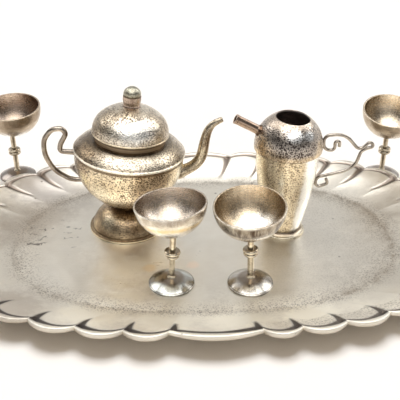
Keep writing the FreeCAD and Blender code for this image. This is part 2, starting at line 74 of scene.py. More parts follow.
def arcPoints(start, end, radius, side):
    # Shorter arc, its centre to the left (side 1) or to the right (-1) of the way it runs.
    start, end = np.array(start, float), np.array(end, float)
    chord = end - start
    length = math.hypot(*chord)
    normal = np.array([-chord[1], chord[0]]) / length
    centre = (start + end) / 2 + normal * side * math.sqrt(max(radius**2 - length**2 / 4, 0))
    first, last = (math.atan2(*(p - centre)[::-1]) for p in (start, end))
    sweep = (last - first + math.pi) % (2 * math.pi) - math.pi
    count = max(2, math.ceil(abs(sweep) / math.radians(4)), math.ceil(abs(sweep) * radius / 0.5))
    angles = first + sweep * np.arange(count + 1) / count
    return centre + radius * np.stack([np.cos(angles), np.sin(angles)], 1)


def linePoints(start, end):
    start, end = np.array(start, float), np.array(end, float)
    count = max(1, math.ceil(math.hypot(*(end - start)) / 0.8))
    return start + (end - start) * np.linspace(0, 1, count + 1)[:, None]


def trimmed(run, length):
    # A run with this length taken off its start.
    steps = np.hypot(*np.diff(run, axis=0).T)
    along = np.concatenate([[0], np.cumsum(steps)])
    length = min(length, 0.45 * along[-1])
    point = np.array([np.interp(length, along, run[:, axis]) for axis in (0, 1)])
    return np.vstack([point, run[along > length + 1e-9]])


def outline(points, arcs={}, rounds={}):
    # Radius and height of each corner. arcs gives an edge's radius and the side of its
    # centre, and rounds how far a corner's rounding reaches along its edges.
    onAxis = points[0][0] == 0 and points[-1][0] == 0
    count = len(points)
    runs = []
    for number in range(count - 1 if onAxis else count):
        ends = points[number], points[(number + 1) % count]
        runs.append(arcPoints(*ends, *arcs[number]) if number in arcs else linePoints(*ends))
    made = []
    for number, run in enumerate(runs):
        before = rounds.get(number, 0) if number or not onAxis else 0
        after = rounds.get((number + 1) % count, 0) if number + 1 < len(runs) or not onAxis else 0
        if before:
            run = trimmed(run, before)
        if after:
            run = trimmed(run[::-1], after)[::-1]
        made.append(run)
    line = []
    for number, run in enumerate(made):
        line.extend(run[:-1])
        corner = (number + 1) % count
        if number + 1 == len(made) and onAxis:
            line.append(run[-1])
        elif rounds.get(corner, 0):
            start, end = run[-1], made[(number + 1) % len(made)][0]
            for t in np.linspace(0, 1, 6)[:-1]:
                line.append((1 - t)**2 * start + 2 * t * (1 - t) * np.array(points[corner]) + t * t * end)
    return np.array(line), onAxis


# Meshes.

def linked(name, data):
    obj = bpy.data.objects.new(name, data)
    bpy.context.scene.collection.objects.link(obj)
    return obj


def setValues(mesh, label, values, kind="FLOAT", key="value"):
    mesh.attributes.new(label, kind, "POINT").data.foreach_set(key, np.asarray(values, np.float32).ravel())


def setLocal(mesh, points):
    # A piece's patterns follow its vessel's own frame, in millimetres.
    setValues(mesh, "local", points, "FLOAT_VECTOR", "vector")


def readPoints(mesh, key="co"):
    found = np.empty(len(mesh.vertices) * 3, np.float32)
    mesh.vertices.foreach_get(key, found)
    return found.reshape(-1, 3).astype(float)


def placed(points, place):
    # Millimetres in a piece's own frame to metres in the row's, and unplaced back again.
    turn = np.array(place)
    return (points @ turn[:3, :3].T + turn[:3, 3]) * mm


def unplaced(points, place):
    back = np.array(place.inverted())
    return (points / mm) @ back[:3, :3].T + back[:3, 3]


def smoothed(mesh):
    mesh.polygons.foreach_set("use_smooth", [True] * len(mesh.polygons))
    mesh.set_sharp_from_angle(angle=sharpEdge)


def meshFrom(name, verts, faces, place):
    mesh = bpy.data.meshes.new(name)
    mesh.from_pydata(placed(verts, place).tolist(), [], faces)
    mesh.validate()
    setLocal(mesh, verts)
    smoothed(mesh)
    return linked(name, mesh)


def cleaned(obj, merge=2e-6):
    work = bmesh.new()
    work.from_mesh(obj.data)
    bmesh.ops.remove_doubles(work, verts=work.verts, dist=merge)
    bmesh.ops.recalc_face_normals(work, faces=work.faces)
    work.to_mesh(obj.data)
    work.free()
    smoothed(obj.data)


def circle(count):
    return np.linspace(0, 2 * math.pi, count, endpoint=False)


def quads(rows, count, closed=True):
    # Faces between rings of points that follow each other. Closed joins the last to the first.
    return [(row * count + i, row * count + (i + 1) % count,
             (row + 1) % rows * count + (i + 1) % count, (row + 1) % rows * count + i)
            for row in range(rows if closed else rows - 1) for i in range(count)]


def dents(angles, heights, seed, size):
    # Slow unevenness of hand work round the axis, the same at both ends of a turn.
    most = 2.4  # about the largest sum of the waves
    draw = np.random.default_rng(seed)
    total = np.zeros(np.broadcast(angles, heights).shape)
    for lobes in range(2, 8):
        strength = draw.uniform(0.4, 1) / lobes**0.7
        total += strength * np.cos(lobes * angles + draw.uniform(0, 6.3) + draw.uniform(-0.4, 0.4) * heights)
    return size * (total / most - 1)


def lathe(name, line, place, turns=144, uneven=0.0, seed=1):
    points, onAxis = line
    angles = circle(turns)
    verts, rings = [], []
    for radius, height in points:
        if radius < 1e-6:
            rings.append([len(verts)] * turns)
            verts.append((0, 0, height))
            continue
        grown = radius + dents(angles, height, seed, uneven) * min(1, radius / 3)
        rings.append(list(range(len(verts), len(verts) + turns)))
        verts.extend(zip(grown * np.cos(angles), grown * np.sin(angles), np.full(turns, height)))
    faces = []
    for lower, upper in list(zip(rings, rings[1:])) + ([] if onAxis else [(rings[-1], rings[0])]):
        for i in range(turns):
            j = (i + 1) % turns
            corners = [lower[i], lower[j], upper[j], upper[i]]
            faces.append([c for k, c in enumerate(corners) if c not in corners[:k]])
    return meshFrom(name, np.array(verts, float), faces, place)


def pipe(name, path, radii, place, bore, sides=48):
    # Round pipe along a path in the XZ plane, open at its far end.
    tangent = np.gradient(path, axis=0)
    tangent /= np.linalg.norm(tangent, axis=1)[:, None]
    normal = np.stack([-tangent[:, 1], tangent[:, 0]], 1)
    rows = list(zip(path, normal, radii))
    lip = (path[-1] + tangent[-1] * bore / 2, normal[-1], radii[-1] - bore / 2)
    rows += [lip] + [(p, n, r - bore) for p, n, r in rows[::-1]]
    verts = np.array([[p[0] + r * math.cos(a) * n[0], r * math.sin(a), p[1] + r * math.cos(a) * n[1]]
                      for p, n, r in rows for a in circle(sides)])
    return meshFrom(name, verts, quads(len(rows), sides), place)


def clothe(obj, body, look):
    # teapotFootVisual stands for the node teapot_foot.
    if look.name not in obj.data.materials:
        obj.data.materials.append(look)
    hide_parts(re.sub("([A-Z])", r"_\1", obj.name.removesuffix("Visual")).lower())
    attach(obj, body)


def turned(name, body, look, place, points, arcs={}, rounds={}, slot="frosted_silver", **shape):
    obj = lathe(name + "Visual", outline(points, arcs, rounds), place, **shape)
    clothe(obj, body, look)
    return obj


def markLining(obj, middle):
    # Says which points are on the inside of a vessel: those that face its middle.
    spots = np.empty(len(obj.data.vertices) * 3, np.float32)
    obj.data.attributes["local"].data.foreach_get("vector", spots)
    outward = ((spots.reshape(-1, 3) - [0, 0, middle]) * readPoints(obj.data, "normal")).sum(axis=1)
    setValues(obj.data, "inner", outward < 0)


# Node trees.

class Signal:
    # An output of a node. A sum on it adds a math node to its tree.
    def __init__(self, socket):
        self.socket = socket

    def __getitem__(self, label):
        return Signal(self.socket.node.outputs[label])

    def to(self, operation, *others):
        return node(treeOf(self), "Math", self, *others, operation=operation)

    def timesPlus(self, factor, added):
        return self.to("MULTIPLY_ADD", factor, added)

    def __add__(self, other):
        return self.to("ADD", other)

    def __sub__(self, other):
        return self.to("SUBTRACT", other)

    def __rsub__(self, other):
        return node(treeOf(self), "Math", other, self, operation="SUBTRACT")

    def __mul__(self, other):
        return self.to("MULTIPLY", other)

    def __truediv__(self, other):
        return self.to("DIVIDE", other)


def feed(socket, given):
    if isinstance(given, Signal):
        socket.id_data.links.new(given.socket, socket)
    elif given is not None:
        socket.default_value = (*given, 1) if socket.type == "RGBA" else given


def node(tree, kind, *inputs, **values):
    # A kind that no shader has belongs to Geometry Nodes.
    prefix = "ShaderNode" if hasattr(bpy.types, "ShaderNode" + kind) else "GeometryNode"
    made = tree.nodes.new(prefix + kind)
    for key, given in values.items():
        if hasattr(made, key):
            setattr(made, key, given)
        else:
            feed(made.inputs[key.replace("_", " ")], given)
    for socket, given in zip(made.inputs, inputs):
        feed(socket, given)
    return Signal(made.outputs[0])


def treeOf(*values):
    return next(value for value in values if isinstance(value, Signal)).socket.id_data


def vector(operation, *inputs):
    return node(treeOf(*inputs), "VectorMath", *inputs, operation=operation)


def noise(point, scale, detail, rough=0.5):
    return node(treeOf(point), "TexNoise", point, Scale=scale, Detail=detail, Roughness=rough)


def ramp(value, start, end, first=0.0, last=1.0):
    made = node(treeOf(value), "ValToRGB", value)
    for element, place, level in zip(made.socket.node.color_ramp.elements, (start, end), (first, last)):
        element.position = place
        element.color = (level, level, level, 1)
    return made


def smooth(value, start, end):
    return node(treeOf(value), "MapRange", value, start, end, interpolation_type="SMOOTHSTEP")


def mix(factor, first, second, kind="RGBA"):
    made = node(treeOf(factor, first, second), "Mix", data_type=kind).socket.node
    factorAt, firstAt, secondAt, outAt = {"FLOAT": (0, 2, 3, 0), "RGBA": (0, 6, 7, 2)}[kind]
    for number, given in ((factorAt, factor), (firstAt, first), (secondAt, second)):
        feed(made.inputs[number], given)
    return Signal(made.outputs[outAt])


def group(name, kind="ShaderNodeTree", **inputs):
    # A tree and its inputs by name. Each has a start value, or the name of a kind that has none.
    tree = bpy.data.node_groups.new(name, kind)
    for label, start in inputs.items():
        what = start if isinstance(start, str) else "Vector" if isinstance(start, tuple) else "Float"
        socket = tree.interface.new_socket(
            label.replace("_", " "), in_out="INPUT", socket_type="NodeSocket" + what)
        if what != start:
            socket.default_value = start
    inlet = tree.nodes.new("NodeGroupInput")
    return tree, {socket.name: Signal(socket) for socket in inlet.outputs}


def giving(tree, what="Float", **outputs):
    for label in outputs:
        tree.interface.new_socket(label, in_out="OUTPUT", socket_type="NodeSocket" + what)
    outlet = tree.nodes.new("NodeGroupOutput")
    for label, given in outputs.items():
        feed(outlet.inputs[label], given)
    return tree


def localPoint(tree):
    return node(tree, "Attribute", attribute_name="local")["Vector"]


def makeGrain():
    # Matted grain: small raised grains with dark pits between them, a height and a pit mask.
    tree, given = group("grain", Size=0.28)
    scaled = vector("DIVIDE", localPoint(tree), given["Size"])
    # Pits of two sizes, each about the middle of a random cell.
    large, small = (ramp(node(tree, "TexVoronoi", scaled, Scale=scale), 0.2, 0.48, share, 0.0)
                    for scale, share in ((1.0, 1.0), (1.7, 0.8)))
    pit = small.to("MAXIMUM", large)
    fine = noise(scaled, 2.5, 2.0, 0.6)
    return giving(tree, Height=fine.timesPlus(0.4, 1.0 - pit), Pit=pit)


def makeClouds():
    # Slow patches of tarnish, a few millimetres across.
    tree, given = group("clouds", Size=5.0)
    scaled = vector("DIVIDE", localPoint(tree), given["Size"])
    patch, small = (ramp(noise(scaled, scale, detail, 0.6), 0.3, 0.7)
                    for scale, detail in ((1.0, 3.0), (4.5, 4.0)))
    return giving(tree, Patch=patch, Small=small)


def makeScratches():
    # Fine wiping scratches that run mostly along X, small dark specks, and short crooked nicks.
    tree, given = group("scratches")
    point = localPoint(tree)
    wiped = node(tree, "Mapping", point, Rotation=(0.2, 0.3, 0.35), Scale=(0.25, 4.5, 4.5))
    lines = noise(wiped, 1.0, 4.0, 0.7)
    specks = node(tree, "TexVoronoi", point, Scale=0.13)
    # The nicks are broken pieces of a net of thin lines.
    bent = noise(point, 0.6, 2.0)["Color"]
    moved = vector("MULTIPLY_ADD", bent, (2.2, 2.2, 0.0), point)
    stretched = vector("MULTIPLY", moved, (0.6, 1.0, 1.0))
    net = node(tree, "TexVoronoi", stretched, feature="DISTANCE_TO_EDGE", Scale=0.55)
    gaps = noise(point, 0.55, 1.0)
    return giving(tree, Line=ramp(lines, 0.35, 0.65), Speck=ramp(specks, 0.02, 0.045, 1.0, 0.0),
                  Nick=ramp(net, 0.015, 0.075, 1.0, 0.0) * ramp(gaps, 0.55, 0.63))


def makeLightAndStainPatch():
    # A ragged patch about a point of the piece, for real tarnish and for painted highlights and shade. Tall
    # under 1 draws it out along the height.
    tree, given = group("stain", Centre=(0.0, 0.0, 0.0), Reach=3.0, Soft=1.0, Tall=1.0)
    point, reach, soft = localPoint(tree), given["Reach"], given["Soft"]
    away = vector("SUBTRACT", point, given["Centre"])
    stretch = node(tree, "CombineXYZ", 1.0, 1.0, given["Tall"])
    scaled = vector("MULTIPLY", away, stretch)
    length = vector("LENGTH", scaled)["Value"]
    ragged = (noise(point, 0.7, 4.0, 0.7) - 0.5) * soft
    return giving(tree, Mask=smooth(ragged.timesPlus(2.5, length), reach + soft, reach - soft))


def makeStreaks():
    # Long marks up the piece, and fine rays that spread from its axis.
    tree, given = group("streaks")
    drawn, flat = (vector("MULTIPLY", localPoint(tree), (1.0, 1.0, tall))
                   for tall in (0.06, 0.0))
    facing = vector("NORMALIZE", flat)
    upright = noise(drawn, 1.1, 3.0, 0.65)
    rays = noise(facing, 9.0, 4.0, 0.7)
    return giving(tree, Upright=ramp(upright, 0.38, 0.62), Rays=ramp(rays, 0.38, 0.62))


grainGroup, cloudGroup, scratchGroup = makeGrain(), makeClouds(), makeScratches()
lightAndStainGroup, streakGroup = makeLightAndStainPatch(), makeStreaks()


def grouped(tree, made, **values):
    return node(tree, "Group", node_tree=made, **values)


def silver(name, light, dark, rough, grain=0.0, grainSize=0.3, pitted=0.0, pit=(0.07, 0.042, 0.022),
           cloud=0.35, lines=0.15, bands=(), rings=0.0, specks=0.0, cloudSize=5.0, lightsAndStains=(), upright=0.0,
           rays=0.0, lining=None):
    # One silver finish. bands are (low, high, soft, colour, share) over the piece's own height. Each patch of
    # tarnish or of painted highlight and shade is (centre, reach, soft, tall, colour, share, pits), and
    # lining is (colour, share, rough) for a hollow's inside.
    material = bpy.data.materials.new(name)
    material.use_nodes = True
    tree = material.node_tree
    shader = tree.nodes["Principled BSDF"]
    shader.inputs["Metallic"].default_value = 1.0
    clouds = grouped(tree, cloudGroup, Size=cloudSize)
    grains = grouped(tree, grainGroup, Size=grainSize)
    scratches, streaks = grouped(tree, scratchGroup), grouped(tree, streakGroup)
    outside = inside = mix(0.35, clouds["Patch"], clouds["Small"], "FLOAT")
    if rays:
        inside = mix(rays, outside, streaks["Rays"], "FLOAT")
        outside = outside if lining else inside
    if upright:
        outside = mix(upright, outside, streaks["Upright"], "FLOAT")
    colour = mix(outside * cloud, light, dark)
    if lining:
        liningTint, liningShare, liningRough = lining
        inner = node(tree, "Attribute", attribute_name="inner")["Fac"]
        colour = mix(inner * liningShare, colour, mix(inside * cloud, liningTint, dark))
    # Pits lie thicker where the metal is more tarnished.
    thick = outside.timesPlus(pitted, pitted * 0.5)
    # Patches of tarnish, and of painted highlight and shade, laid over the colour.
    for centre, reach, soft, tall, tint, share, pits in lightsAndStains:
        mask = grouped(tree, lightAndStainGroup, Centre=centre, Reach=reach, Soft=soft, Tall=tall)
        colour = mix(mask * share, colour, tint)
        thick = mask.timesPlus(pits, thick)
    if lining:
        thick = inner.timesPlus(-1.0, thick)
    if pitted:
        colour = mix((grains["Pit"] * thick.to("MAXIMUM", 0.0)).to("MINIMUM", 1.0), colour, pit)
    upward = node(tree, "SeparateXYZ", localPoint(tree))["Z"]
    for low, high, soft, tint, share in bands:
        inBand = smooth(upward, low - soft, low + soft) * smooth(upward, high + soft, high - soft)
        if lining:
            inBand = inBand * (streaks["Upright"].timesPlus(0.5, 0.5) * inner.timesPlus(-0.75, 1.0))
        colour = mix(inBand * share, colour, tint)
    if specks:
        colour = mix(scratches["Speck"] * specks, colour, pit)
    feed(shader.inputs["Base Color"], colour)
    uneven = clouds["Small"].timesPlus(0.1, rough - 0.05)
    if lining:
        uneven = mix(inner, uneven, liningRough, "FLOAT")
    feed(shader.inputs["Roughness"], scratches["Line"].timesPlus(0.08, uneven))
    height = scratches["Line"] * lines
    if grain:
        height = grains["Height"].timesPlus(grain, height)
    if rings:
        # Turning marks left by the lathe.
        height = (upward * 16.0).to("SINE").timesPlus(rings, height)
    feed(shader.inputs["Normal"], node(tree, "Bump", Strength=0.4, Distance=0.00008, Height=height))
    return material


# Teapot: bowl, shoulder and neck lean together on an upright foot.
pot = {"bottom": 5.1, "bowl": 10.4, "girdle": 16.6, "wall": 0.4, "neckTop": 20.2, "lean": 5.5}
onTable = Matrix.Translation(footOf("teapot_foot"))
onPot = onTable @ leant(pot["bottom"], pot["lean"])
potBall = ball(pot["bowl"], pot["girdle"] - pot["bottom"])
potMiddle = pot["bottom"] + potBall

bowlLook = silver(
    "frostedSilver", (1, 0.88, 0.66), (0.6, 0.45, 0.27), rough=0.18, grain=1, grainSize=0.36,
    pitted=1.2, cloud=0.8, cloudSize=6.5, lightsAndStains=[
        ((-8.6, -4.8, 15), 2.9, 1.4, 1, (0.32, 0.22, 0.13), 0.8, 0.9),
        # The next two pale patches at the lower left are painted highlights.
        ((-4.6, -8.3, 11.2), 1.9, 1.3, 1, (0.86, 0.77, 0.58), 0.75, -0.5),
        ((-7.6, -6.2, 13), 1.2, 0.9, 1, (0.92, 0.8, 0.48), 0.8, -0.5),
        ((-8.2, -3.6, 10.4), 2.3, 1, 1, (0.42, 0.31, 0.18), 0.75, 0.5),
        ((4.6, -9.2, 14.2), 3.8, 1.8, 1, (0.38, 0.25, 0.14), 0.65, 0.9),
        # A pale streak at the right: a painted highlight.
        ((9.4, -3.6, 14.5), 1.2, 0.6, 0.5, (1, 0.95, 0.8), 0.8, -0.6)],
    bands=[(16, 16.62, 0.12, (0.12, 0.075, 0.04), 0.8), (5, 6.4, 0.5, (0.16, 0.1, 0.06), 0.7)])
shoulderLook = silver(
    "shoulderSilver", (0.74, 0.66, 0.53), (0.32, 0.25, 0.165), rough=0.19, grain=0.7, grainSize=0.35,
    pitted=0.9, cloud=0.85, lightsAndStains=[
        # Dark patches on the left and right: pitted tarnish with painted shade on the sides.
        ((-8.2, -3.6, 18), 4.6, 2.2, 1, (0.27, 0.2, 0.125), 0.9, 0.9),
        ((8.9, -2.4, 18), 3, 1.6, 1, (0.42, 0.33, 0.22), 0.6, 0.4)],
    # The pale band at the girdle's edge is a painted highlight, and the dark band by the neck is a painted
    # shadow of the lid.
    bands=[(16.3, 16.62, 0.06, (0.13, 0.09, 0.05), 0.9), (16.7, 17, 0.05, (0.95, 0.88, 0.74), 0.8),
           (18.85, 19.4, 0.2, (0.14, 0.1, 0.06), 0.75)])
footLook = silver(
    "footSilver", (0.62, 0.48, 0.3), (0.17, 0.105, 0.06), rough=0.18, grain=0.5, grainSize=0.3,
    pitted=1, cloud=0.9, lightsAndStains=[
        # A painted highlight at the upper left and painted shade at the lower right.
        ((-3.4, -4.4, 3.2), 1.3, 0.8, 1, (0.95, 0.8, 0.55), 0.8, -0.5),
        ((4.5, -3.5, 2.2), 1.6, 0.9, 1, (0.1, 0.06, 0.03), 0.7, 0.3)],
    # The pale band on the flange is a painted highlight; the dark bands at the bottom edge, above the flange
    # and under the bowl are painted shade.
    bands=[(0.12, 0.34, 0.05, (0.95, 0.84, 0.6), 0.9), (-0.4, 0.1, 0.04, (0.16, 0.1, 0.06), 0.8),
           (0.44, 0.8, 0.12, (0.1, 0.06, 0.03), 0.8), (4.6, 5.6, 0.3, (0.1, 0.065, 0.035), 0.8)])
# The neck and the lid's bezel sit under the lid rim: their dark colour is partly tarnish and partly painted
# shadow of the lid, darkest in a band at the top.
neckShadeLook = silver("neckSilver", (0.4, 0.3, 0.2), (0.13, 0.09, 0.055), rough=0.32, grain=0.4,
                  bands=[(19.7, 20.3, 0.15, (0.08, 0.06, 0.04), 0.9)])

turned("teapotFoot", "teapot", footLook, onTable,
       [(0, 4.7), (2.1, 4.7), (6.6, 0), (7.65, 0), (7.65, 0.4), (7.1, 0.4), (2.6, 5.0), (3.05, 5.6),
        (0, 5.6)],
       {1: (5.6, -1), 5: (5.6, 1)}, {3: 0.1, 4: 0.15, 5: 0.14, 6: 0.45}, uneven=0.04, seed=2)
turned("teapotBowl", "teapot", bowlLook, onPot,
       [(0, pot["bottom"]), (pot["bowl"], pot["girdle"]),
        (beside(potBall - pot["wall"], pot["girdle"] - potMiddle), pot["girdle"]),
        (0, pot["bottom"] + pot["wall"])],
       {0: (potBall, 1), 2: (potBall - pot["wall"], -1)}, turns=168, uneven=0.05, seed=3)
turned("teapotShoulder", "teapot", shoulderLook, onPot,
       [(10.0, 16.6), (10.65, 16.6), (10.65, 16.95), (10.42, 17.05), (6.76, 19.05), (6.76, 18.65)],
       {3: (4.6, 1), 5: (4.9, -1)}, {1: 0.13, 2: 0.14, 3: 0.1}, turns=168, uneven=0.05, seed=3)
turned("teapotNeck", "teapot", neckShadeLook, onPot,
       [(6.35, 18.2), (6.75, 18.2), (6.75, 18.9), (6.75, 20.2), (6.35, 20.2)], {}, {3: 0.08, 4: 0.08},
       uneven=0.02, seed=4)

# Lid: a side arc that runs smoothly into a flatter crown arc.
lid = {"radius": 7.2, "top": 25.7, "crown": 9.0, "wall": 0.4, "rim": 0.3}
rimTop = pot["neckTop"] + lid["rim"]
crownMiddle = lid["top"] - lid["crown"]
drop = rimTop - crownMiddle
sideCurve = (lid["crown"]**2 - lid["radius"]**2 - drop**2) / (2 * (lid["crown"] - lid["radius"]))
crownShare = (lid["radius"] - sideCurve) / (lid["crown"] - sideCurve)


def crownEnd(radius):
    out = radius * crownShare
    return out, crownMiddle + beside(radius, out)


lidLook = silver(
    "lidSilver", (0.94, 0.86, 0.72), (0.44, 0.35, 0.24), rough=0.18, grain=0.9, grainSize=0.36,
    pitted=0.95, cloud=0.8, lightsAndStains=[
        # The pale patch at the front is a painted highlight.
        ((1.2, -6.2, 23), 2.9, 1.6, 1.3, (1, 0.98, 0.92), 0.85, -0.6),
        ((-5.8, -2.4, 23.2), 3.2, 1.8, 1, (0.36, 0.28, 0.18), 0.7, 0.7),
        ((6.2, -2.2, 22.8), 2.6, 1.6, 1, (0.42, 0.33, 0.22), 0.55, 0.5),
        ((-0.5, -3.4, 25.2), 2.2, 1.2, 1, (0.46, 0.37, 0.25), 0.6, 0.7)],
    bands=[(20.45, 20.7, 0.1, (0.2, 0.14, 0.08), 0.4)])
# The dark band on the rim's underside is painted shade.
rimLook = silver("rimSilver", (0.72, 0.62, 0.46), (0.24, 0.17, 0.1), rough=0.2, grain=0.25, cloud=0.6,
                 bands=[(18, 20.22, 0.05, (0.12, 0.08, 0.05), 0.9)])
finialLook = silver(
    "warmSilver", (0.7, 0.57, 0.46), (0.3, 0.21, 0.16), rough=0.22, grain=0.3, pitted=0.5, cloud=0.9,
    upright=0.7, bands=[(25.4, 25.7, 0.1, (0.2, 0.11, 0.07), 0.7),
                        (27.45, 27.7, 0.06, (0.1, 0.07, 0.04), 0.9)])
capLook = silver("capSilver", (0.46, 0.44, 0.35), (0.26, 0.24, 0.17), rough=0.25, grain=0.5, pitted=0.6,
                 bands=[(27.4, 27.75, 0.08, (0.1, 0.07, 0.04), 0.9)])

turned("lidDome", "lid", lidLook, onPot,
       [(0, lid["top"] - lid["wall"]), crownEnd(lid["crown"] - lid["wall"]), (6.8, rimTop - 0.05),
        (7.22, rimTop - 0.05), (lid["radius"], rimTop), crownEnd(lid["crown"]), (0, lid["top"])],
       {0: (lid["crown"] - lid["wall"], -1), 1: (sideCurve - lid["wall"], -1), 4: (sideCurve, 1),
        5: (lid["crown"], 1)}, uneven=0.03, seed=5)
turned("lidRim", "lid", rimLook, onPot, [(5.85, 20.2), (7.3, 20.2), (7.3, 20.42), (7.2, 20.5), (5.85, 20.5)],
       {}, {1: 0.08, 2: 0.06, 3: 0.05}, uneven=0.03, seed=5)
turned("lidBezel", "lid", neckShadeLook, onPot, [(5.85, 18.9), (6.25, 18.9), (6.25, 20.25), (5.85, 20.25)],
       {}, {0: 0.06, 1: 0.06}, uneven=0.01, seed=5)
turned("lidFinialStem", "lid", finialLook, onPot,
       [(0, 25.55), (1.75, 25.42), (1.52, 25.85), (1.7, 26.7), (1.68, 27.6), (0, 27.6)],
       {}, {2: 0.15, 3: 0.4, 4: 0.12}, "warm_silver", turns=96, uneven=0.02, seed=6)
turned("lidFinialCap", "lid", capLook, onPot, [(0, 27.6), (1.62, 27.6), (1.62, 28.15), (0, 29.28)],
       {2: (ball(1.62, 1.15), 1)}, {1: 0.12, 2: 0.2}, turns=96, uneven=0.03, seed=7)


# Wires: a Geometry Nodes tree rounds the corners and sweeps the section.

def finished(tree, label, shape, material):
    real = node(tree, "RealizeInstances", shape)
    dressed = node(tree, "SetMaterial", Geometry=real, Material=material)
    return giving(tree, "Geometry", **{label: dressed})


waveRate = 1700.0  # radians of unevenness to each metre of wire
wireStep = 0.00014  # metres between the sections that are swept


def makeWireTree():
    tree, given = group("bentWire", "GeometryNodeTree", Path="Geometry", Radius=0.0005, Flare=0.0,
                        Flare_Length=0.001, Uneven=0.0, Finish="Material")
    bend = node(tree, "InputNamedAttribute", data_type="FLOAT", Name="bend")
    fillet = node(tree, "FilletCurve", mode="POLY", Count=14, Radius=bend,
                  Curve=node(tree, "MeshToCurve", given["Path"]))
    fine = node(tree, "ResampleCurve", mode="LENGTH", Curve=fillet, Length=wireStep)
    along = node(tree, "SplineParameter")["Length"]
    near = along.to("MINIMUM", node(tree, "SplineLength") - along)
    fade = (near / given["Flare Length"] * -1.0).to("EXPONENT")
    wave = (along * waveRate).to("SINE")
    grown = wave.timesPlus(given["Uneven"], fade.timesPlus(given["Flare"], 1.0))
    sized = node(tree, "SetCurveRadius", Curve=fine, Radius=grown * given["Radius"])
    section = node(tree, "CurvePrimitiveCircle", Resolution=28, Radius=1.0)
    sweep = node(tree, "CurveToMesh", Curve=sized, Profile_Curve=section, Fill_Caps=True,
                 Scale=node(tree, "InputRadius"))
    return finished(tree, "Wire", node(tree, "SetShadeSmooth", sweep), given["Finish"])


def evaluated(name, mesh, tree, place, values):
    # The mesh that a Geometry Nodes tree makes of this one, as a plain mesh.
    carrier = linked(name, mesh)
    modifier = carrier.modifiers.new("shape", "NODES")
    modifier.node_group = tree
    for item in tree.interface.items_tree:
        if item.in_out == "INPUT" and item.name in values:
            modifier[item.identifier] = values[item.name]
    carrier.update_tag()
    bpy.context.view_layer.update()
    graph = bpy.context.evaluated_depsgraph_get()
    made = bpy.data.meshes.new_from_object(carrier.evaluated_get(graph))
    carrier.modifiers.remove(modifier)
    carrier.data = made
    made.name = name
    bpy.data.meshes.remove(mesh)
    cleaned(carrier)
    setLocal(carrier.data, unplaced(readPoints(carrier.data), place))
    return carrier


wireTree = makeWireTree()


def wire(name, body, look, place, corners, radius, flare=0.0, flareLength=0.4, uneven=0.0):
    # Straight runs, each corner rounded over a share of the shorter run beside it.
    bendShare = 0.45
    flat = np.array(corners, float)
    runs = np.diff(flat, axis=0)
    lengths = np.hypot(*runs.T)
    bends = np.zeros(len(flat))
    for i in range(1, len(flat) - 1):
        a, b = runs[i - 1] / lengths[i - 1], runs[i] / lengths[i]
        turn = math.acos(max(-1, min(1, float(a @ b))))
        bends[i] = bendShare * min(lengths[i - 1], lengths[i]) / math.tan(turn / 2)
    spots = placed(np.stack([flat[:, 0], np.zeros(len(flat)), flat[:, 1]], 1), place)
    mesh = bpy.data.meshes.new(name + "Path")
    mesh.from_pydata(spots.tolist(), [(i, i + 1) for i in range(len(flat) - 1)], [])
    setValues(mesh, "bend", bends * mm)
    obj = evaluated(name + "Visual", mesh, wireTree, place, {
        "Radius": radius * mm, "Flare": flare, "Flare Length": flareLength * mm, "Uneven": uneven,
        "Finish": look})
    clothe(obj, body, look)


potHandle = {"radius": 0.49, "flare": 0.35, "flareLength": 0.35, "uneven": 0.015}
wireLook = silver("wireSilver", (0.48, 0.42, 0.35), (0.11, 0.08, 0.06), rough=0.12, grain=0.2, pitted=0.4,
                  cloud=1, cloudSize=3)
handlePoints = [
    (-10.1, 10.15), (-13.15, 10.15), (-13.06, 11.58), (-11.95, 13.9), (-12.76, 14.88), (-14.66, 14.55),
    (-16.17, 12.32), (-16.02, 9.22), (-14.21, 5.95), (-10.98, 4.21), (-8.4, 4.45)]
wire("teapotHandle", "teapot", wireLook, onPot, [(x, z + pot["bottom"]) for x, z in handlePoints],
     **potHandle)

# Teapot's spout: a curve through its stations of (x, z, slope, radius).
spout = {"stations": [
    (8.78, 7.06, 23, 1.12), (12.05, 8.81, 37, 1.1), (13.57, 10.74, 67, 1.08), (14.02, 13.55, 85, 1.0),
    (14.37, 16.16, 77, 0.85), (15.19, 17.87, 51, 0.65), (16.87, 19.1, 31, 0.52)],
    "bore": 0.25, "flare": 0.3, "flareLength": 0.5, "sunk": 0.2}


def heading(slope):
    return np.array([math.cos(math.radians(slope)), math.sin(math.radians(slope))])


def throughStations(rows, steps=16):
    path, radii = [], []
    for (x0, z0, s0, r0), (x1, z1, s1, r1) in zip(rows, rows[1:]):
        start, end = np.array([x0, z0]), np.array([x1, z1])
        chord = math.hypot(*(end - start))
        for t in np.linspace(0, 1, steps, endpoint=False):
            path.append((2 * t**3 - 3 * t**2 + 1) * start + (t**3 - 2 * t**2 + t) * chord * heading(s0)
                        + (-2 * t**3 + 3 * t**2) * end + (t**3 - t**2) * chord * heading(s1))
            radii.append(r0 + (r1 - r0) * t)
    return np.array(path + [rows[-1][:2]]), np.array(radii + [rows[-1][3]])


def seated(obj, place, middle, radius, away):
    # Slides points inside a ball along a direction until they lie on it.
    own = unplaced(readPoints(obj.data), place)
    away = np.array(away) / np.linalg.norm(away)
    apart = own - np.array(middle)
    inside = (np.einsum("ij,ij->i", apart, apart) < radius**2) & (apart @ away > 0)
    part = apart[inside]
    dot = part @ away
    slide = -dot + np.sqrt(np.maximum(dot**2 - np.einsum("ij,ij->i", part, part) + radius**2, 0))
    own[inside] += slide[:, None] * away
    obj.data.vertices.foreach_set("co", placed(own, place).astype(np.float32).ravel())
    cleaned(obj, 1e-6)


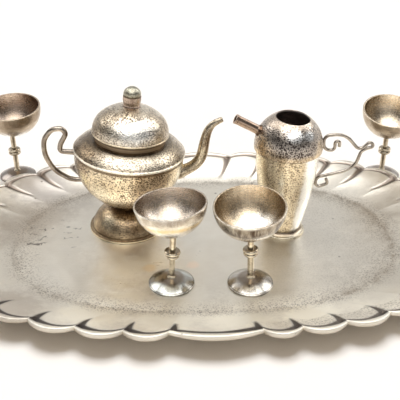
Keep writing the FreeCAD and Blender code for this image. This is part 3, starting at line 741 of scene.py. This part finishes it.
path, radii = throughStations([(x, z + pot["bottom"], s, r) for x, z, s, r in spout["stations"]])
distance = np.hypot(path[:, 0], path[:, 1] - potMiddle)
radii += spout["flare"] * np.exp(-np.maximum(distance - potBall, 0) / spout["flareLength"])
pourer = pipe("teapotSpoutVisual", path, radii, onPot, spout["bore"])
out, up = heading(spout["stations"][0][2])
seated(pourer, onPot, (0, 0, potMiddle), potBall - spout["sunk"], (out, 0, up))
# The dark patch near the spout's upper end is painted shade on its side.
spoutLook = silver(
    "spoutSilver", (0.92, 0.82, 0.63), (0.17, 0.115, 0.07), rough=0.13, grain=0.4, pitted=0.9, cloud=0.95,
    cloudSize=3.5, lightsAndStains=[((15.4, -0.5, 17.5), 1.4, 0.5, 0.25, (0.2, 0.13, 0.08), 0.6, 0.3)])
clothe(pourer, "teapot", spoutLook)
print("teapot made")

# Jug: a tall cup with a domed top, a straight tube spout and a scrolled handle.
jug = {"lean": 0.5, "footTop": 1.15, "seam": 17.8, "middle": 18.5, "dome": 6.45, "wall": 0.4,
       "mouth": 3.2, "mouthLean": 4.5, "mouthTip": 3.5, "slope": 27.5, "dentedAt": 6.4}
jugTable = Matrix.Translation(footOf("jug_foot"))
onJug = jugTable @ leant(jug["footTop"], jug["lean"])
jugLining = ((0.36, 0.33, 0.36), 0.95, 0.45)
cupLook = silver(
    "cupSilver", (0.95, 0.84, 0.64), (0.44, 0.33, 0.2), rough=0.17, grain=0.7, grainSize=0.35,
    lining=jugLining, pitted=0.9, cloud=0.85, upright=0.45, lightsAndStains=[
        # These three pale upright patches are painted highlights: a white strip on the right, a small spot at
        # the front and a warm streak on the left.
        ((4.1, -3.2, 10), 2.6, 0.7, 0.04, (1, 0.99, 0.95), 1, -1),
        ((-1.6, -5, 13.5), 0.5, 0.4, 0.15, (1, 0.97, 0.85), 0.8, -0.5),
        ((-5.1, -2.2, 10), 1.7, 0.8, 0.04, (1, 0.88, 0.64), 0.85, -0.5)],
    # The dark band at the top is the seam, with painted shadow under the dome's wider edge.
    bands=[(17.45, 17.9, 0.08, (0.08, 0.055, 0.03), 0.9)])
jugFootLook = silver("jugFootSilver", (0.84, 0.77, 0.62), (0.3, 0.23, 0.15), rough=0.26, grain=0.2,
                     cloud=0.5, bands=[(0.6, 1.3, 0.15, (0.16, 0.11, 0.07), 0.8)])
stipple = silver(
    "stippledSilver", (0.64, 0.57, 0.49), (0.25, 0.2, 0.16), rough=0.2, grain=0.6, grainSize=0.4,
    lining=jugLining, pitted=1.3, pit=(0.05, 0.035, 0.03), cloud=0.7, lightsAndStains=[
        # The two white patches below the mouth are a painted highlight.
        ((0.4, -5.2, 22.2), 1.5, 0.6, 1.5, (1, 0.99, 0.96), 0.95, -1.2),
        ((2.9, -4.5, 22.1), 1.1, 0.5, 1.5, (1, 0.99, 0.96), 0.9, -1.2),
        ((0.4, -6.3, 19.8), 3.2, 1.6, 1.4, (0.5, 0.45, 0.4), 0.5, 1.2),
        ((-5.6, -2.8, 19), 2.4, 1.4, 1, (0.8, 0.6, 0.36), 0.6, 0),
        ((5.4, -3.4, 18.6), 1.6, 1, 1, (0.85, 0.68, 0.45), 0.6, -0.3)],
    bands=[(17.7, 18.6, 0.45, (0.85, 0.66, 0.42), 0.5), (23.15, 24.6, 0.25, (0.5, 0.41, 0.32), 0.8)])
tubeLook = silver(
    "tubeSilver", (0.58, 0.44, 0.34), (0.16, 0.11, 0.08), rough=0.18, grain=0.2, cloud=0.95, upright=0.6,
    bands=[(5, 6.75, 0.1, (0.12, 0.07, 0.04), 0.9), (10.8, 10.98, 0.05, (0.12, 0.07, 0.04), 0.8)])
turned("jugFoot", "jug", jugFootLook, jugTable,
       [(0, 0), (4.4, 0), (4.4, 0.45), (3.4, 1.1), (3.4, 1.22), (0, 1.22)],
       {2: (1.1, -1)}, {1: 0.08, 2: 0.14}, uneven=0.03, seed=8)
cup = turned("jugCup", "jug", cupLook, onJug,
             [(0, 1.15), (3.55, 1.15), (6.05, 17.8), (5.65, 17.8), (3.15, 1.55), (0, 1.55)],
             {1: (75, 1), 3: (75, -1)}, {1: 0.12}, uneven=0.05, seed=9)
markLining(cup, jug["middle"])


def jugDome(name, turns=144, rows=30):
    # Ball from the seam up to a tilted round mouth, with its wall and a rounded lip.
    tilt = np.array(Matrix.Rotation(math.radians(jug["mouthLean"]), 3, "Y")
                    @ Matrix.Rotation(math.radians(jug["mouthTip"]), 3, "X"))
    drop = jug["seam"] - jug["middle"]
    rim = np.stack([np.cos(circle(turns)), np.sin(circle(turns))], 1)

    def rings(radius):
        seam = np.column_stack([beside(radius, drop) * rim, np.full(turns, drop)])
        lip = np.column_stack([jug["mouth"] * rim, np.full(turns, beside(radius, jug["mouth"]))]) @ tilt.T
        turn = np.arccos((seam * lip).sum(axis=1, keepdims=True) / radius**2)
        return [(np.sin((1 - t) * turn) * seam + np.sin(t * turn) * lip) / np.sin(turn)
                for t in np.linspace(0, 1, rows)]

    outside, inside = rings(jug["dome"]), rings(jug["dome"] - jug["wall"])
    lip = []
    for share in np.linspace(0, 1, 8)[1:-1]:
        edge = outside[-1] * (1 - share) + inside[-1] * share
        lip.append(edge - (edge - edge.mean(axis=0)) / jug["mouth"] * 0.1 * math.sin(math.pi * share))
    grown = 1 + dents(circle(turns), 0, seed=9, size=0.05) / jug["dentedAt"]
    swollen = np.stack([grown, grown, np.ones(turns)], 1)
    verts = np.concatenate([ring * swollen + [0, 0, jug["middle"]] for ring in outside + lip + inside[::-1]])
    return meshFrom(name, verts, quads(2 * rows + len(lip), turns), onJug)


dome = jugDome("jugDomeVisual")
markLining(dome, jug["middle"])
clothe(dome, "jug", stipple)
alongTube = (onJug @ Matrix.Translation((0, 0, jug["middle"]))
             @ Matrix.Rotation(math.radians(jug["slope"] - 90), 4, "Y"))
turned("jugSpout", "jug", tubeLook, alongTube,
       [(0.62, 6.2), (1.25, 6.2), (1.12, 6.45), (0.88, 6.8), (0.88, 10.9), (0.93, 10.95), (0.93, 11.4),
        (0.62, 11.4)],
       {}, {2: 0.1, 3: 0.2, 5: 0.04, 6: 0.06, 7: 0.06}, "warm_silver", turns=64, uneven=0.03, seed=10)
scroll = [
    (3.17, 0.23), (3.17, 1.28), (2.3, 1.25), (2.39, -0.66), (0.3, -0.3), (0.05, 2.49),
    (4.03, 2.77), (7.13, -0.7), (8.93, 1.28), (9.81, 0.13), (8.29, -0.22), (7.39, -0.92),
    (6.72, -3.65), (4.72, -4.99), (-0.7, -6.28), (-0.5, -8.52), (1.84, -7.59), (1.32, -6.54)]
scrollLook = silver("scrollSilver", (0.55, 0.5, 0.43), (0.13, 0.1, 0.08), rough=0.15, grain=0.2, cloud=1,
                    cloudSize=3)
wire("jugHandle", "jug", scrollLook, onJug, [(jug["dome"] + x, jug["seam"] + z) for x, z in scroll],
     radius=0.31, uneven=0.03)
print("jug made")

# Goblets. Bands run between depths below the rim, and shine places a painted highlight inside the bowl.
goblets = {
    "goblet_front_left": {
        "knop": 5.55, "bottom": 10.5, "top": 16.4, "tip": -3.5, "lean": -4.2, "shift": 0.1, "stem": 3.0,
        "rings": (1.24, 1.46), "inside": (0.6, 0.52, 0.46), "skin": ((1.0, 0.96, 0.87), (0.46, 0.36, 0.25)),
        "base": (0.7, 0.72, 0.68), "shine": ((0.2, -1.8), 3.4),
        "bands": [(1.5, 0.25, (0.3, 0.24, 0.19), 0.75), (2.9, 2.1, (0.66, 0.46, 0.18), 0.75)]},
    "goblet_front_right": {
        "knop": 6.05, "bottom": 9.8, "top": 15.8, "tip": 7.0, "lean": -2.4, "shift": -0.65, "stem": -1.9,
        "rings": (1.3, 1.4), "inside": (0.8, 0.66, 0.47), "skin": ((1.0, 0.94, 0.82), (0.38, 0.28, 0.18)),
        "base": (0.74, 0.7, 0.64), "shine": ((1.4, -1.6), 4.4),
        "bands": [(2.5, 0.2, (0.07, 0.045, 0.03), 1.0), (3.6, 3.1, (0.55, 0.38, 0.19), 0.7)]},
    "goblet_rear_left": {
        "knop": 5.5, "bottom": 10.3, "top": 17.1, "tip": 7.3, "lean": 0, "shift": 0.75, "stem": 0,
        "rings": (1.36, 1.36), "inside": (0.5, 0.39, 0.33), "skin": ((0.74, 0.62, 0.48), (0.34, 0.26, 0.175)),
        "base": (0.31, 0.26, 0.24), "shine": ((0.4, -1.8), 3.6),
        "bands": [(2.4, 0.3, (0.22, 0.155, 0.1), 0.7)]},
    "goblet_rear_right": {
        "knop": 5.5, "bottom": 9.5, "top": 15.9, "tip": 14.3, "lean": 0, "shift": 0.25, "stem": 0,
        "rings": (1.36, 1.36), "inside": (0.84, 0.72, 0.56), "skin": ((0.8, 0.69, 0.54), (0.34, 0.26, 0.17)),
        "base": (0.5, 0.45, 0.42), "shine": ((0.4, -1.4), 3.2),
        "bands": [(2.0, 0.3, (0.3, 0.22, 0.15), 0.6)]},
}
goblet = {"radius": 6.25, "wall": 0.35, "ring": 0.7, "swell": 0.26}


def makeGoblet(number, name, size):
    def part(label, look, place, *line, **shape):
        return turned(name + label, name, look, place, *line, slot="goblet_silver", **shape)

    bottom, top, low = size["bottom"], size["top"], size["knop"]
    stand = Matrix.Translation(footOf(name + "_foot"))
    onStem = stand @ leant(1.4, size["stem"])
    footLook = silver(
        name + "Foot", size["base"], (0.24, 0.22, 0.18), rough=0.17, cloud=0.9, cloudSize=3, rays=0.3,
        # Painted shade on the left and right of the foot.
        lightsAndStains=[((x, -0.6, 0.3), 1.3, 0.8, 1, (0.3, 0.27, 0.24), 0.5, 0) for x in (-3.2, 3.2)],
        bands=[(-0.1, 0.16, 0.04, (0.14, 0.11, 0.08), 0.7), (0.32, 0.42, 0.05, (0.12, 0.1, 0.08), 0.75),
               (1.1, 1.5, 0.12, (0.2, 0.14, 0.09), 0.7)])
    part("_foot", footLook, stand, [(0, 0), (4.1, 0), (4.1, 0.25), (1.5, 1.28), (0.95, 1.4), (0, 1.4)],
         {2: (6.0, 1)}, {1: 0.06, 2: 0.1, 3: 0.3, 4: 0.1}, turns=120, uneven=0.03, seed=20 + number)
    seam, end = low + goblet["ring"], low + 2 * goblet["ring"]
    stemLook = silver(
        name + "Stem", (0.86, 0.77, 0.6), (0.22, 0.15, 0.095), rough=0.13, cloud=0.9, cloudSize=2.5,
        bands=[(z - 0.06, z + 0.06, 0.05, (0.1, 0.065, 0.04), share)
               for z, share in ((low, 0.9), (seam, 0.9), (end, 0.5))])
    part("_stem", stemLook, onStem,
         [(0, 1.3), (0.78, 1.35), (0.56, 1.75), (0.55, bottom - 0.35), (0.8, bottom + 0.1),
          (0, bottom + 0.1)],
         {}, {2: 0.25, 3: 0.2}, turns=64, uneven=0.03, seed=30 + number)
    lower, upper = (radius - goblet["swell"] for radius in size["rings"])
    swollen = (ball(goblet["ring"] / 2, goblet["swell"]), 1)
    part("_knop", stemLook, onStem,
         [(0, low), (lower, low), (lower, seam), (upper, seam), (upper, end), (0, end)],
         {1: swollen, 3: swollen}, turns=80, uneven=0.03, seed=40 + number)
    outer = ball(goblet["radius"], top - bottom)
    inner, middle = outer - goblet["wall"], bottom + outer
    onBowl = stand @ Matrix.Translation((size["shift"], 0, 0)) @ leant(middle, size["lean"], size["tip"])
    (shineX, shineY), shineReach = size["shine"]
    bowlLook = silver(
        name + "Silver", *size["skin"], rough=0.12, grain=0.3, grainSize=0.2, pitted=0.4, cloud=0.8,
        cloudSize=2.5, rings=0.03, rays=0.5, lining=(size["inside"], 0.85, 0.22),
        # A white painted highlight on the inside bottom, at shine.
        lightsAndStains=[((shineX, shineY, bottom + 0.8), shineReach, 1.1, 1, (1, 1, 0.98), 0.85, -0.3)],
        bands=[(top - deep, top - shallow, 0.3, tint, share) for deep, shallow, tint, share in size["bands"]]
        + [(bottom - 0.2, bottom + 0.35, 0.15, (0.2, 0.14, 0.09), 0.6)])
    bowl = part("_bowl", bowlLook, onBowl,
                [(0, bottom), (goblet["radius"], top), (beside(inner, top - middle), top),
                 (0, bottom + goblet["wall"])],
                {0: (outer, 1), 2: (inner, -1)}, {1: 0.14, 2: 0.14}, uneven=0.05, seed=50 + number)
    markLining(bowl, middle)


for number, (name, size) in enumerate(goblets.items()):
    makeGoblet(number, name, size)
print("goblets made")

# Tray: a scalloped oval with a sloped side round a flat well.
tray = {"length": 98.4, "width": 61.4, "power": 2.42, "lobes": 15, "wide": 1.73, "bulge": 1.6, "lip": 0.85,
        "top": 3.6, "floor": 0.8, "groove": 0.12, "well": (73.0, 45.2), "margin": 0.6, "aside": 0.5,
        "hook": 0.05, "lobeSteps": 30, "slant": (0.12, 0.3), "crease": (2.5, 1.9, 6.5), "heavy": (0.55, 0.45),
        "undercut": 0.985}
# How far the front cusps stray along the rim, by the hand that filed them (mm).
strayed = {28: 0.4, 29: 0.5, 30: 0.4, 31: -0.2, 0: 0.9, 1: -0.7, 2: -1.2, 3: -1.5, 4: -1.2, 5: -0.8, 6: -0.4}


def ovalPoint(angle, length, width):
    cos, sin, power = np.cos(angle), np.sin(angle), tray["power"]
    reach = (np.abs(2 * cos / length)**power + np.abs(2 * sin / width)**power)**(-1 / power)
    return np.stack([reach * cos, reach * sin], -1)


def lobeAngles():
    samples = 7201
    angles = np.linspace(-math.pi / 2, 1.5 * math.pi, samples)
    points = ovalPoint(angles, tray["length"], tray["width"])
    walked = np.concatenate([[0], np.cumsum(np.hypot(*np.diff(points, axis=0).T))])
    pitch = walked[-1] / (2 * tray["lobes"] + 2 * tray["wide"])
    spans = ([pitch] * tray["lobes"] + [tray["wide"] * pitch]) * 2
    stations = np.concatenate([[0], np.cumsum(spans)]) + tray["wide"] * pitch / 2
    for number, shift in strayed.items():
        stations[number] += shift
    stations[-1] = stations[0] + walked[-1]
    middles = (stations[:-1] + stations[1:]) / 2
    return [np.interp(s % walked[-1], walked, angles) + 2 * math.pi * (s // walked[-1])
            for s in (stations, middles)]


def arcThrough(first, middle, last, shares):
    # Points at these shares along the round arc through three points.
    a, b, c = (complex(*p) for p in (first, middle, last))
    w = (c - a) / (b - a)
    if abs(w.imag) < 1e-9:
        return np.outer(1 - shares, first) + np.outer(shares, last)
    centre = (b - a) * (w - abs(w)**2) / (2j * w.imag) + a
    start, end = np.angle(a - centre), np.angle(c - centre)
    spot = centre + abs(a - centre) * np.exp(1j * (start + (end - start) % (2 * math.pi) * shares))
    return np.stack([spot.real, spot.imag], -1)


def ringOf(cusps, middles, size, shares, bulge=None):
    rows = []
    for first, last, halfway in zip(cusps[:-1], cusps[1:], middles):
        start, end = ovalPoint(first, *size), ovalPoint(last, *size)
        middle = ovalPoint(halfway, *size)
        if bulge:
            out = np.array([end[1] - start[1], start[0] - end[0]])
            middle = (start + end) / 2 + out / np.linalg.norm(out) * bulge
        rows.append(arcThrough(start, middle, end, shares))
    return np.concatenate(rows)


def makeTrayTree():
    # Presses the creases that run in from the cusps, swells the lobes between them and cuts
    # the groove inside the lip. Masks of each go out for the material.
    tree, given = group(
        "scallopedRim", "GeometryNodeTree", Blank="Geometry", Crease_Depth=0.0, Crease_Width=0.0005,
        Lobe_Swell=0.0, Swell_Length=0.005, Groove_Depth=0.0, Groove_Width=0.0003, Groove_Place=0.0,
        Groove_Bow=0.0, Lip_Fade=0.0002, Finish="Material")
    inset, apart, phase, reach, upper, heavy = (
        node(tree, "InputNamedAttribute", data_type="FLOAT", Name=label)
        for label in ("inset", "apart", "phase", "reach", "upper", "heavy"))

    def bell(away, width):
        off = away / width
        return (off * off * -1.0).to("EXPONENT")

    inner = inset.to("MAXIMUM", 0.0)
    left = (1.0 - inner / reach).to("MAXIMUM", 0.0)
    creaseWidth = given["Crease Width"] * left.to("POWER", 2.0).timesPlus(0.9, 0.75)
    ends = (inset / given["Lip Fade"] + 1.0).to("MINIMUM", 1.0).to("MAXIMUM", 0.0)
    crease = bell(apart, creaseWidth) * (left.to("POWER", 0.5) * ends) * upper
    swell = phase * (inner / given["Swell Length"] * -1.0).to("EXPONENT") * upper
    # The groove bows less than the edge does, and is cut wider at one end of each lobe.
    grooveAt = phase.timesPlus(given["Groove Bow"], given["Groove Place"])
    groove = bell(inset - grooveAt, given["Groove Width"] * heavy.timesPlus(1.1, 1.0)) * upper
    down = groove.timesPlus(given["Groove Depth"], crease * given["Crease Depth"])
    up = swell * given["Lobe Swell"] - down
    shape = node(tree, "SetPosition", given["Blank"], Offset=node(tree, "CombineXYZ", Z=up))
    for label, mask in (("crease", crease), ("groove", groove)):
        shape = node(tree, "StoreNamedAttribute", data_type="FLOAT", domain="POINT",
                     Geometry=shape, Name=label, Value=mask)
    return finished(tree, "Tray", shape, given["Finish"])


def trayMaterial():
    # Broad painted light and shade on the tray as (place, reach, soft, colour, share): a lighter front slope
    # and flat, darker slopes and corners at the sides and back, and two small warm painted reflections.
    paintedLightAndShade = [((x, -25.5 + x * x * 0.006, 2.2), 5.5, 2.5, (1, 0.95, 0.83), 0.85) for x in (-20, -8, 4, 16, 28)]
    paintedLightAndShade += [((x, -19.8, 1), 4.5, 2.5, (0.98, 0.94, 0.84), 0.7) for x in (-14, -4, 6)]
    paintedLightAndShade += [
        ((-14.5, -6.5, 0.8), 7, 4, (1, 0.97, 0.89), 0.8), ((30, -16, 1.5), 8, 4, (0.6, 0.55, 0.47), 0.5),
        ((39, 10.5, 2.5), 6, 3, (0.58, 0.53, 0.45), 0.6), ((31, 23, 3.2), 5, 2.5, (0.54, 0.49, 0.42), 0.6),
        ((-38, 9, 2), 5, 2.5, (0.52, 0.47, 0.4), 0.6), ((-24, 11, 0.8), 4, 2, (0.64, 0.59, 0.51), 0.5),
        ((-28, 17, 1.8), 5.5, 3, (0.54, 0.49, 0.43), 0.6), ((27, 0, 1), 14, 6, (0.66, 0.62, 0.55), 0.5),
        ((-33.5, -22.5, 2.8), 6, 3, (0.52, 0.46, 0.39), 0.75),
        ((-35, 19, 3), 6, 3, (0.54, 0.495, 0.45), 0.85), ((-45, 2, 2.2), 7, 3, (0.55, 0.49, 0.42), 0.5),
        ((-32, 9.5, 1.4), 5, 2.5, (0.5, 0.44, 0.37), 0.6), ((-37, 3, 1.4), 4, 2, (0.5, 0.44, 0.37), 0.5),
        ((-10.8, -9.7, 0.8), 1.2, 0.6, (0.98, 0.78, 0.5), 0.45),
        ((-2.8, -9, 0.8), 1.1, 0.5, (0.98, 0.75, 0.58), 0.4)]
    material = silver("traySilver", (0.84, 0.795, 0.705), (0.63, 0.57, 0.475), rough=0.31, cloud=0.5,
                      lines=0.35, specks=0.7, cloudSize=11,
                      lightsAndStains=[(place, reach, soft, 1, tint, share, 0)
                              for place, reach, soft, tint, share in paintedLightAndShade])
    tree = material.node_tree
    shader = tree.nodes["Principled BSDF"]
    colour, rough, normal = (Signal(shader.inputs[label].links[0].from_socket)
                             for label in ("Base Color", "Roughness", "Normal"))
    crease, groove, edge, under = (node(tree, "Attribute", attribute_name=label)["Fac"]
                                   for label in ("crease", "groove", "edge", "under"))
    # The creases and the groove are coloured darker, and blacker along the front.
    fromFront = node(tree, "SeparateXYZ", localPoint(tree))["Y"]
    creaseDarkening = mix(smooth(fromFront, -12, 18), (0.055, 0.045, 0.04), (0.2, 0.16, 0.13))
    for mask, gain in ((crease, 2.2), (groove, 2.6)):
        colour = mix((mask * gain).to("MINIMUM", 0.95), colour, creaseDarkening)
    # Painted shade on the rim's outer face and underside.
    colour = mix(under * 0.6, colour, (0.4, 0.33, 0.24))
    # Short dark nicks on the left of the flat.
    nicked = grouped(tree, lightAndStainGroup, Centre=(-30.0, 1.2, 0.8), Reach=6.0, Soft=1.5)
    nicks = grouped(tree, scratchGroup)["Nick"] * nicked
    colour = mix(nicks * 0.8, colour, (0.1, 0.085, 0.075))
    # Matted stipple in a band along the edge of the flat.
    grains = grouped(tree, grainGroup, Size=0.46)
    clouds = grouped(tree, cloudGroup, Size=7.0)
    stippled = edge * clouds["Patch"].timesPlus(0.7, 0.3)
    seam = edge.to("POWER", 3.0) * clouds["Small"]
    colour = mix(seam * 0.55, colour, (0.4, 0.34, 0.27))
    colour = mix(stippled * grains["Pit"], colour, (0.22, 0.18, 0.14))
    feed(shader.inputs["Base Color"], colour)
    # The slope in front is more worn, and duller.
    feed(shader.inputs["Roughness"], smooth(fromFront, -18, -25).timesPlus(0.16, rough))
    bump = normal.socket.node.inputs["Height"]
    feed(bump, (stippled * grains["Height"]).timesPlus(0.9, Signal(bump.links[0].from_socket)))
    return material


def makeTray(name):
    cusps, middles = lobeAngles()
    lobe = np.linspace(-1, 1, tray["lobeSteps"] + 1)[:-1]
    shares = np.clip((1 + np.sign(lobe) * (1 - (1 - np.abs(lobe))**1.5)) / 2, 0, 1)
    size, lip = np.array([tray["length"], tray["width"]]), tray["lip"]
    inside, wellSize = size - 2 * lip, np.array(tray["well"])
    rim = ringOf(cusps, middles, size, shares, tray["bulge"])
    lipIn = ringOf(cusps, middles, inside, shares, tray["bulge"])
    well = ringOf(cusps, middles, wellSize, shares)
    foot = ringOf(cusps, middles, wellSize + 2 * tray["margin"], shares)
    lobes, steps = len(middles), len(shares)

    def unit(vectors):
        return vectors / np.linalg.norm(vectors, axis=1)[:, None]

    def toBack(points):
        return np.clip((points[:, 1] + 5) / 20, 0, 1)

    # Each crease starts beside its cusp and runs in nearly square to the edge, with a slight hook.
    slant, slantBehind = tray["slant"]
    starts = ovalPoint(cusps[:-1], *inside)
    along = unit(ovalPoint(cusps[:-1] + 0.01, *inside) - ovalPoint(cusps[:-1] - 0.01, *inside))
    inward = np.stack([-along[:, 1], along[:, 0]], -1)
    inward = unit(inward - (slant + slantBehind * toBack(starts))[:, None] * unit(starts))
    towards = -np.sign(starts[:, :1])
    origins = starts + towards * tray["aside"] * along * np.sign(along[:, :1])
    late = np.tile(np.arange(steps) >= steps / 2, lobes)
    owner = (np.repeat(np.arange(lobes), steps) + late) % lobes
    hooked = (towards * np.sign(inward[:, 1:]))[owner, 0] * tray["hook"]

    def fromCrease(flat):
        away = flat - origins[owner]
        deep = np.einsum("ij,ij->i", away, inward[owner])
        across = away[:, 0] * inward[owner, 1] - away[:, 1] * inward[owner, 0]
        return np.abs(across - hooked * np.maximum(deep, 0)**2)

    outerEnd = np.repeat(np.abs(starts[:, 0]) > np.abs(np.roll(starts, -1, axis=0)[:, 0]), steps)
    along = np.tile(shares, lobes)
    heavyFrom, heavyOver = tray["heavy"]
    heavy = np.clip((np.where(outerEnd, 1 - along, along) - heavyFrom) / heavyOver, 0, 1)
    bow = 1 - (2 * along - 1)**2
    angle = np.arctan2(lipIn[:, 1] / inside[1], lipIn[:, 0] / inside[0])
    # Creases run in further at the ends of the front, and furthest at the back.
    ahead, corner, behind = tray["crease"]
    reach = (ahead + corner * np.sin(2 * angle)**2) * (1 - toBack(lipIn)) + behind * toBack(lipIn)
    top, floor = tray["top"], tray["floor"]
    low = top - tray["groove"]
    rows = []

    def row(flat, height, inset=99.0, upper=1.0, edge=0.0, under=0.0):
        values = (np.broadcast_to(given, len(flat)) for given in (height, inset, upper, edge, under))
        rows.append((flat, *values))

    for t in (0.0, 0.12, 0.3, 0.5, 0.7, 0.85, 0.92, 0.96, 0.985):
        row(well * t, floor, edge=max(0, (t - 0.85) / 0.15) + 0.35 * np.clip((well[:, 0] * t - 6) / 18, 0, 1))
    span = np.linalg.norm(lipIn - well, axis=1)
    # Rows lie closer together near the lip, where the creases and the groove are cut.
    for s in np.concatenate([np.linspace(0, 0.6, 12), np.linspace(0.6, 0.88, 12)[1:],
                             np.linspace(0.88, 1, 14)[1:]]):
        flat = well * (1 - s) + lipIn * s
        matted = 0.75 * np.clip((flat[:, 0] - 3) / 14, 0, 1) * (flat[:, 1] < 0) * (s > 0.6)
        row(flat, floor + (low - floor) * (s - 0.04 * math.sin(2 * math.pi * s)), (1 - s) * span,
            edge=max(0, 1 - s / 0.25) + matted)
    for s, fall in ((0.12, 0.09), (0.3, 0.04), (0.5, 0.01), (0.66, 0.0), (0.78, 0.01), (0.87, 0.05),
                    (0.94, 0.12), (0.98, 0.2), (1.0, 0.3)):
        row(lipIn * (1 - s) + rim * s, top - fall, -s * lip)
    for grown, fall, under in ((1.0, 0.5, 0.0), (0.997, 0.68, 0.5), (tray["undercut"], 0.9, 1.0)):
        row(rim * grown, top - fall, -1.0, 0.0, under=under)
    for s in np.linspace(0.1, 1, 10):
        row(rim * tray["undercut"] * (1 - s) + foot * s, (top - 1.0) * (1 - s), -1.0, 0.0, under=1.0)
    for t in (0.95, 0.7, 0.4, 0.0):
        row(foot * t, 0, -1.0, 0.0, under=1.0)
    flats, heights, insets, uppers, edges, unders = (np.concatenate(column) for column in zip(*rows))
    mesh = bpy.data.meshes.new(name + "Blank")
    points = np.column_stack([flats, heights]) * mm
    mesh.from_pydata(points.tolist(), [], quads(len(rows), lobes * steps, closed=False))
    for label, values in (
            ("inset", insets * mm), ("apart", np.concatenate([fromCrease(made[0]) for made in rows]) * mm),
            ("phase", np.tile(bow, len(rows))), ("heavy", np.tile(heavy, len(rows))),
            ("reach", np.tile(reach, len(rows)) * mm), ("upper", uppers), ("edge", edges), ("under", unders)):
        setValues(mesh, label, values)
    look = trayMaterial()
    obj = evaluated(name, mesh, makeTrayTree(), Matrix.Identity(4), {
        "Crease Depth": 0.00036, "Crease Width": 0.00042, "Lobe Swell": 0.0003, "Swell Length": 0.003,
        "Groove Depth": 0.00014, "Groove Width": 0.00024, "Groove Place": 0.00012, "Groove Bow": 0.00035,
        "Lip Fade": 0.0002, "Finish": look})
    clothe(obj, "tray", look)


makeTray("trayVisual")
print("tray made")

# Floor, light and camera.
floorReach = 4.0  # metres each way, far past the view
corners = [(x * floorReach, y * floorReach, 0) for x, y in ((-1, -1), (1, -1), (1, 1), (-1, 1))]
floorMesh = bpy.data.meshes.new("tableTop")
floorMesh.from_pydata(corners, [], [(0, 1, 2, 3)])
floor = linked("tableTop", floorMesh)
floorLook = bpy.data.materials.new("paleTable")
floorLook.use_nodes = True
tree = floorLook.node_tree
shader = tree.nodes["Principled BSDF"]
shader.inputs["Roughness"].default_value = 0.6
marks = noise(node(tree, "TexCoord")["Object"], 30.0, 3.0)
feed(shader.inputs["Base Color"], mix(marks, (0.97, 0.97, 0.97), (0.95, 0.95, 0.95)))
floor.data.materials.append(floorLook)

# The room: soft light all round with a pale low wall, and lit panels that only shine in the
# silver. Each panel is (direction, outer degrees, inner degrees, power).
panels = [((0.0, -0.16, 1.0), 38, 27, 3.4), ((0.1, 1.0, 0.05), 85, 5, 0.62), ((-1.0, 0.6, 1.0), 20, 9, 3.0),
          ((0, -1.0, 0.45), 32, 8, 0.3), ((1.0, 0.5, 0.85), 20, 9, 4.0)]
room = {"soft": 0.4, "shade": 0.16, "wall": 1.0, "wallFoot": 0.14, "wallTop": 0.22, "warm": (1.0, 0.82, 0.62)}
world = bpy.data.worlds.new("studio")
bpy.context.scene.world = world
world.use_nodes = True
tree = world.node_tree
background = tree.nodes["Background"]
toward = vector("NORMALIZE", node(tree, "TexCoord")["Generated"])
shine = 0.0
for aim, outer, inner, power in panels:
    facing = vector("DOT_PRODUCT", toward, Vector(aim).normalized())["Value"]
    start, end = (math.cos(math.radians(degrees)) for degrees in (outer, inner))
    shine = smooth(facing, start, end).timesPlus(power, shine)
low = smooth(node(tree, "SeparateXYZ", toward)["Z"], room["wallTop"], room["wallFoot"])
glossy = node(tree, "LightPath")["Is Glossy Ray"]
light = glossy.timesPlus(shine, mix(glossy, room["soft"], room["shade"], "FLOAT"))
feed(background.inputs["Strength"], mix(low, light, light.to("MAXIMUM", room["wall"]), "FLOAT"))
feed(background.inputs["Color"], mix(glossy.to("MAXIMUM", low), room["warm"], (1.0, 1.0, 1.0)))

# The main light comes from the back, low enough to lay a shadow before the rim.
sun = {"energy": 2.65, "degrees": 32, "aim": (-0.05, -1.0, -2.1)}
keyLight = bpy.data.lights.new("backKey", "SUN")
keyLight.energy = sun["energy"]
keyLight.angle = math.radians(sun["degrees"])
key = linked("backKey", keyLight)
key.rotation_euler = Vector(sun["aim"]).to_track_quat("-Z", "Y").to_euler()
key.visible_glossy = False

camera = {"lens": 60.3, "sensor": 36, "nearest": 0.01, "place": (-0.005015, -0.10981, 0.0728),
          "aside": 2, "down": 30}
lens = bpy.data.cameras.new("camera")
lens.lens = camera["lens"]
lens.sensor_width = camera["sensor"]
lens.clip_start = camera["nearest"]
eye = linked("camera", lens)
eye.location = camera["place"]
aside, down = math.radians(camera["aside"]), math.radians(camera["down"])
aim = Vector((math.sin(aside) * math.cos(down), math.cos(aside) * math.cos(down), -math.sin(down)))
eye.rotation_euler = aim.to_track_quat("-Z", "Y").to_euler()
bpy.context.scene.camera = eye
bpy.context.scene.view_settings.view_transform = "Standard"
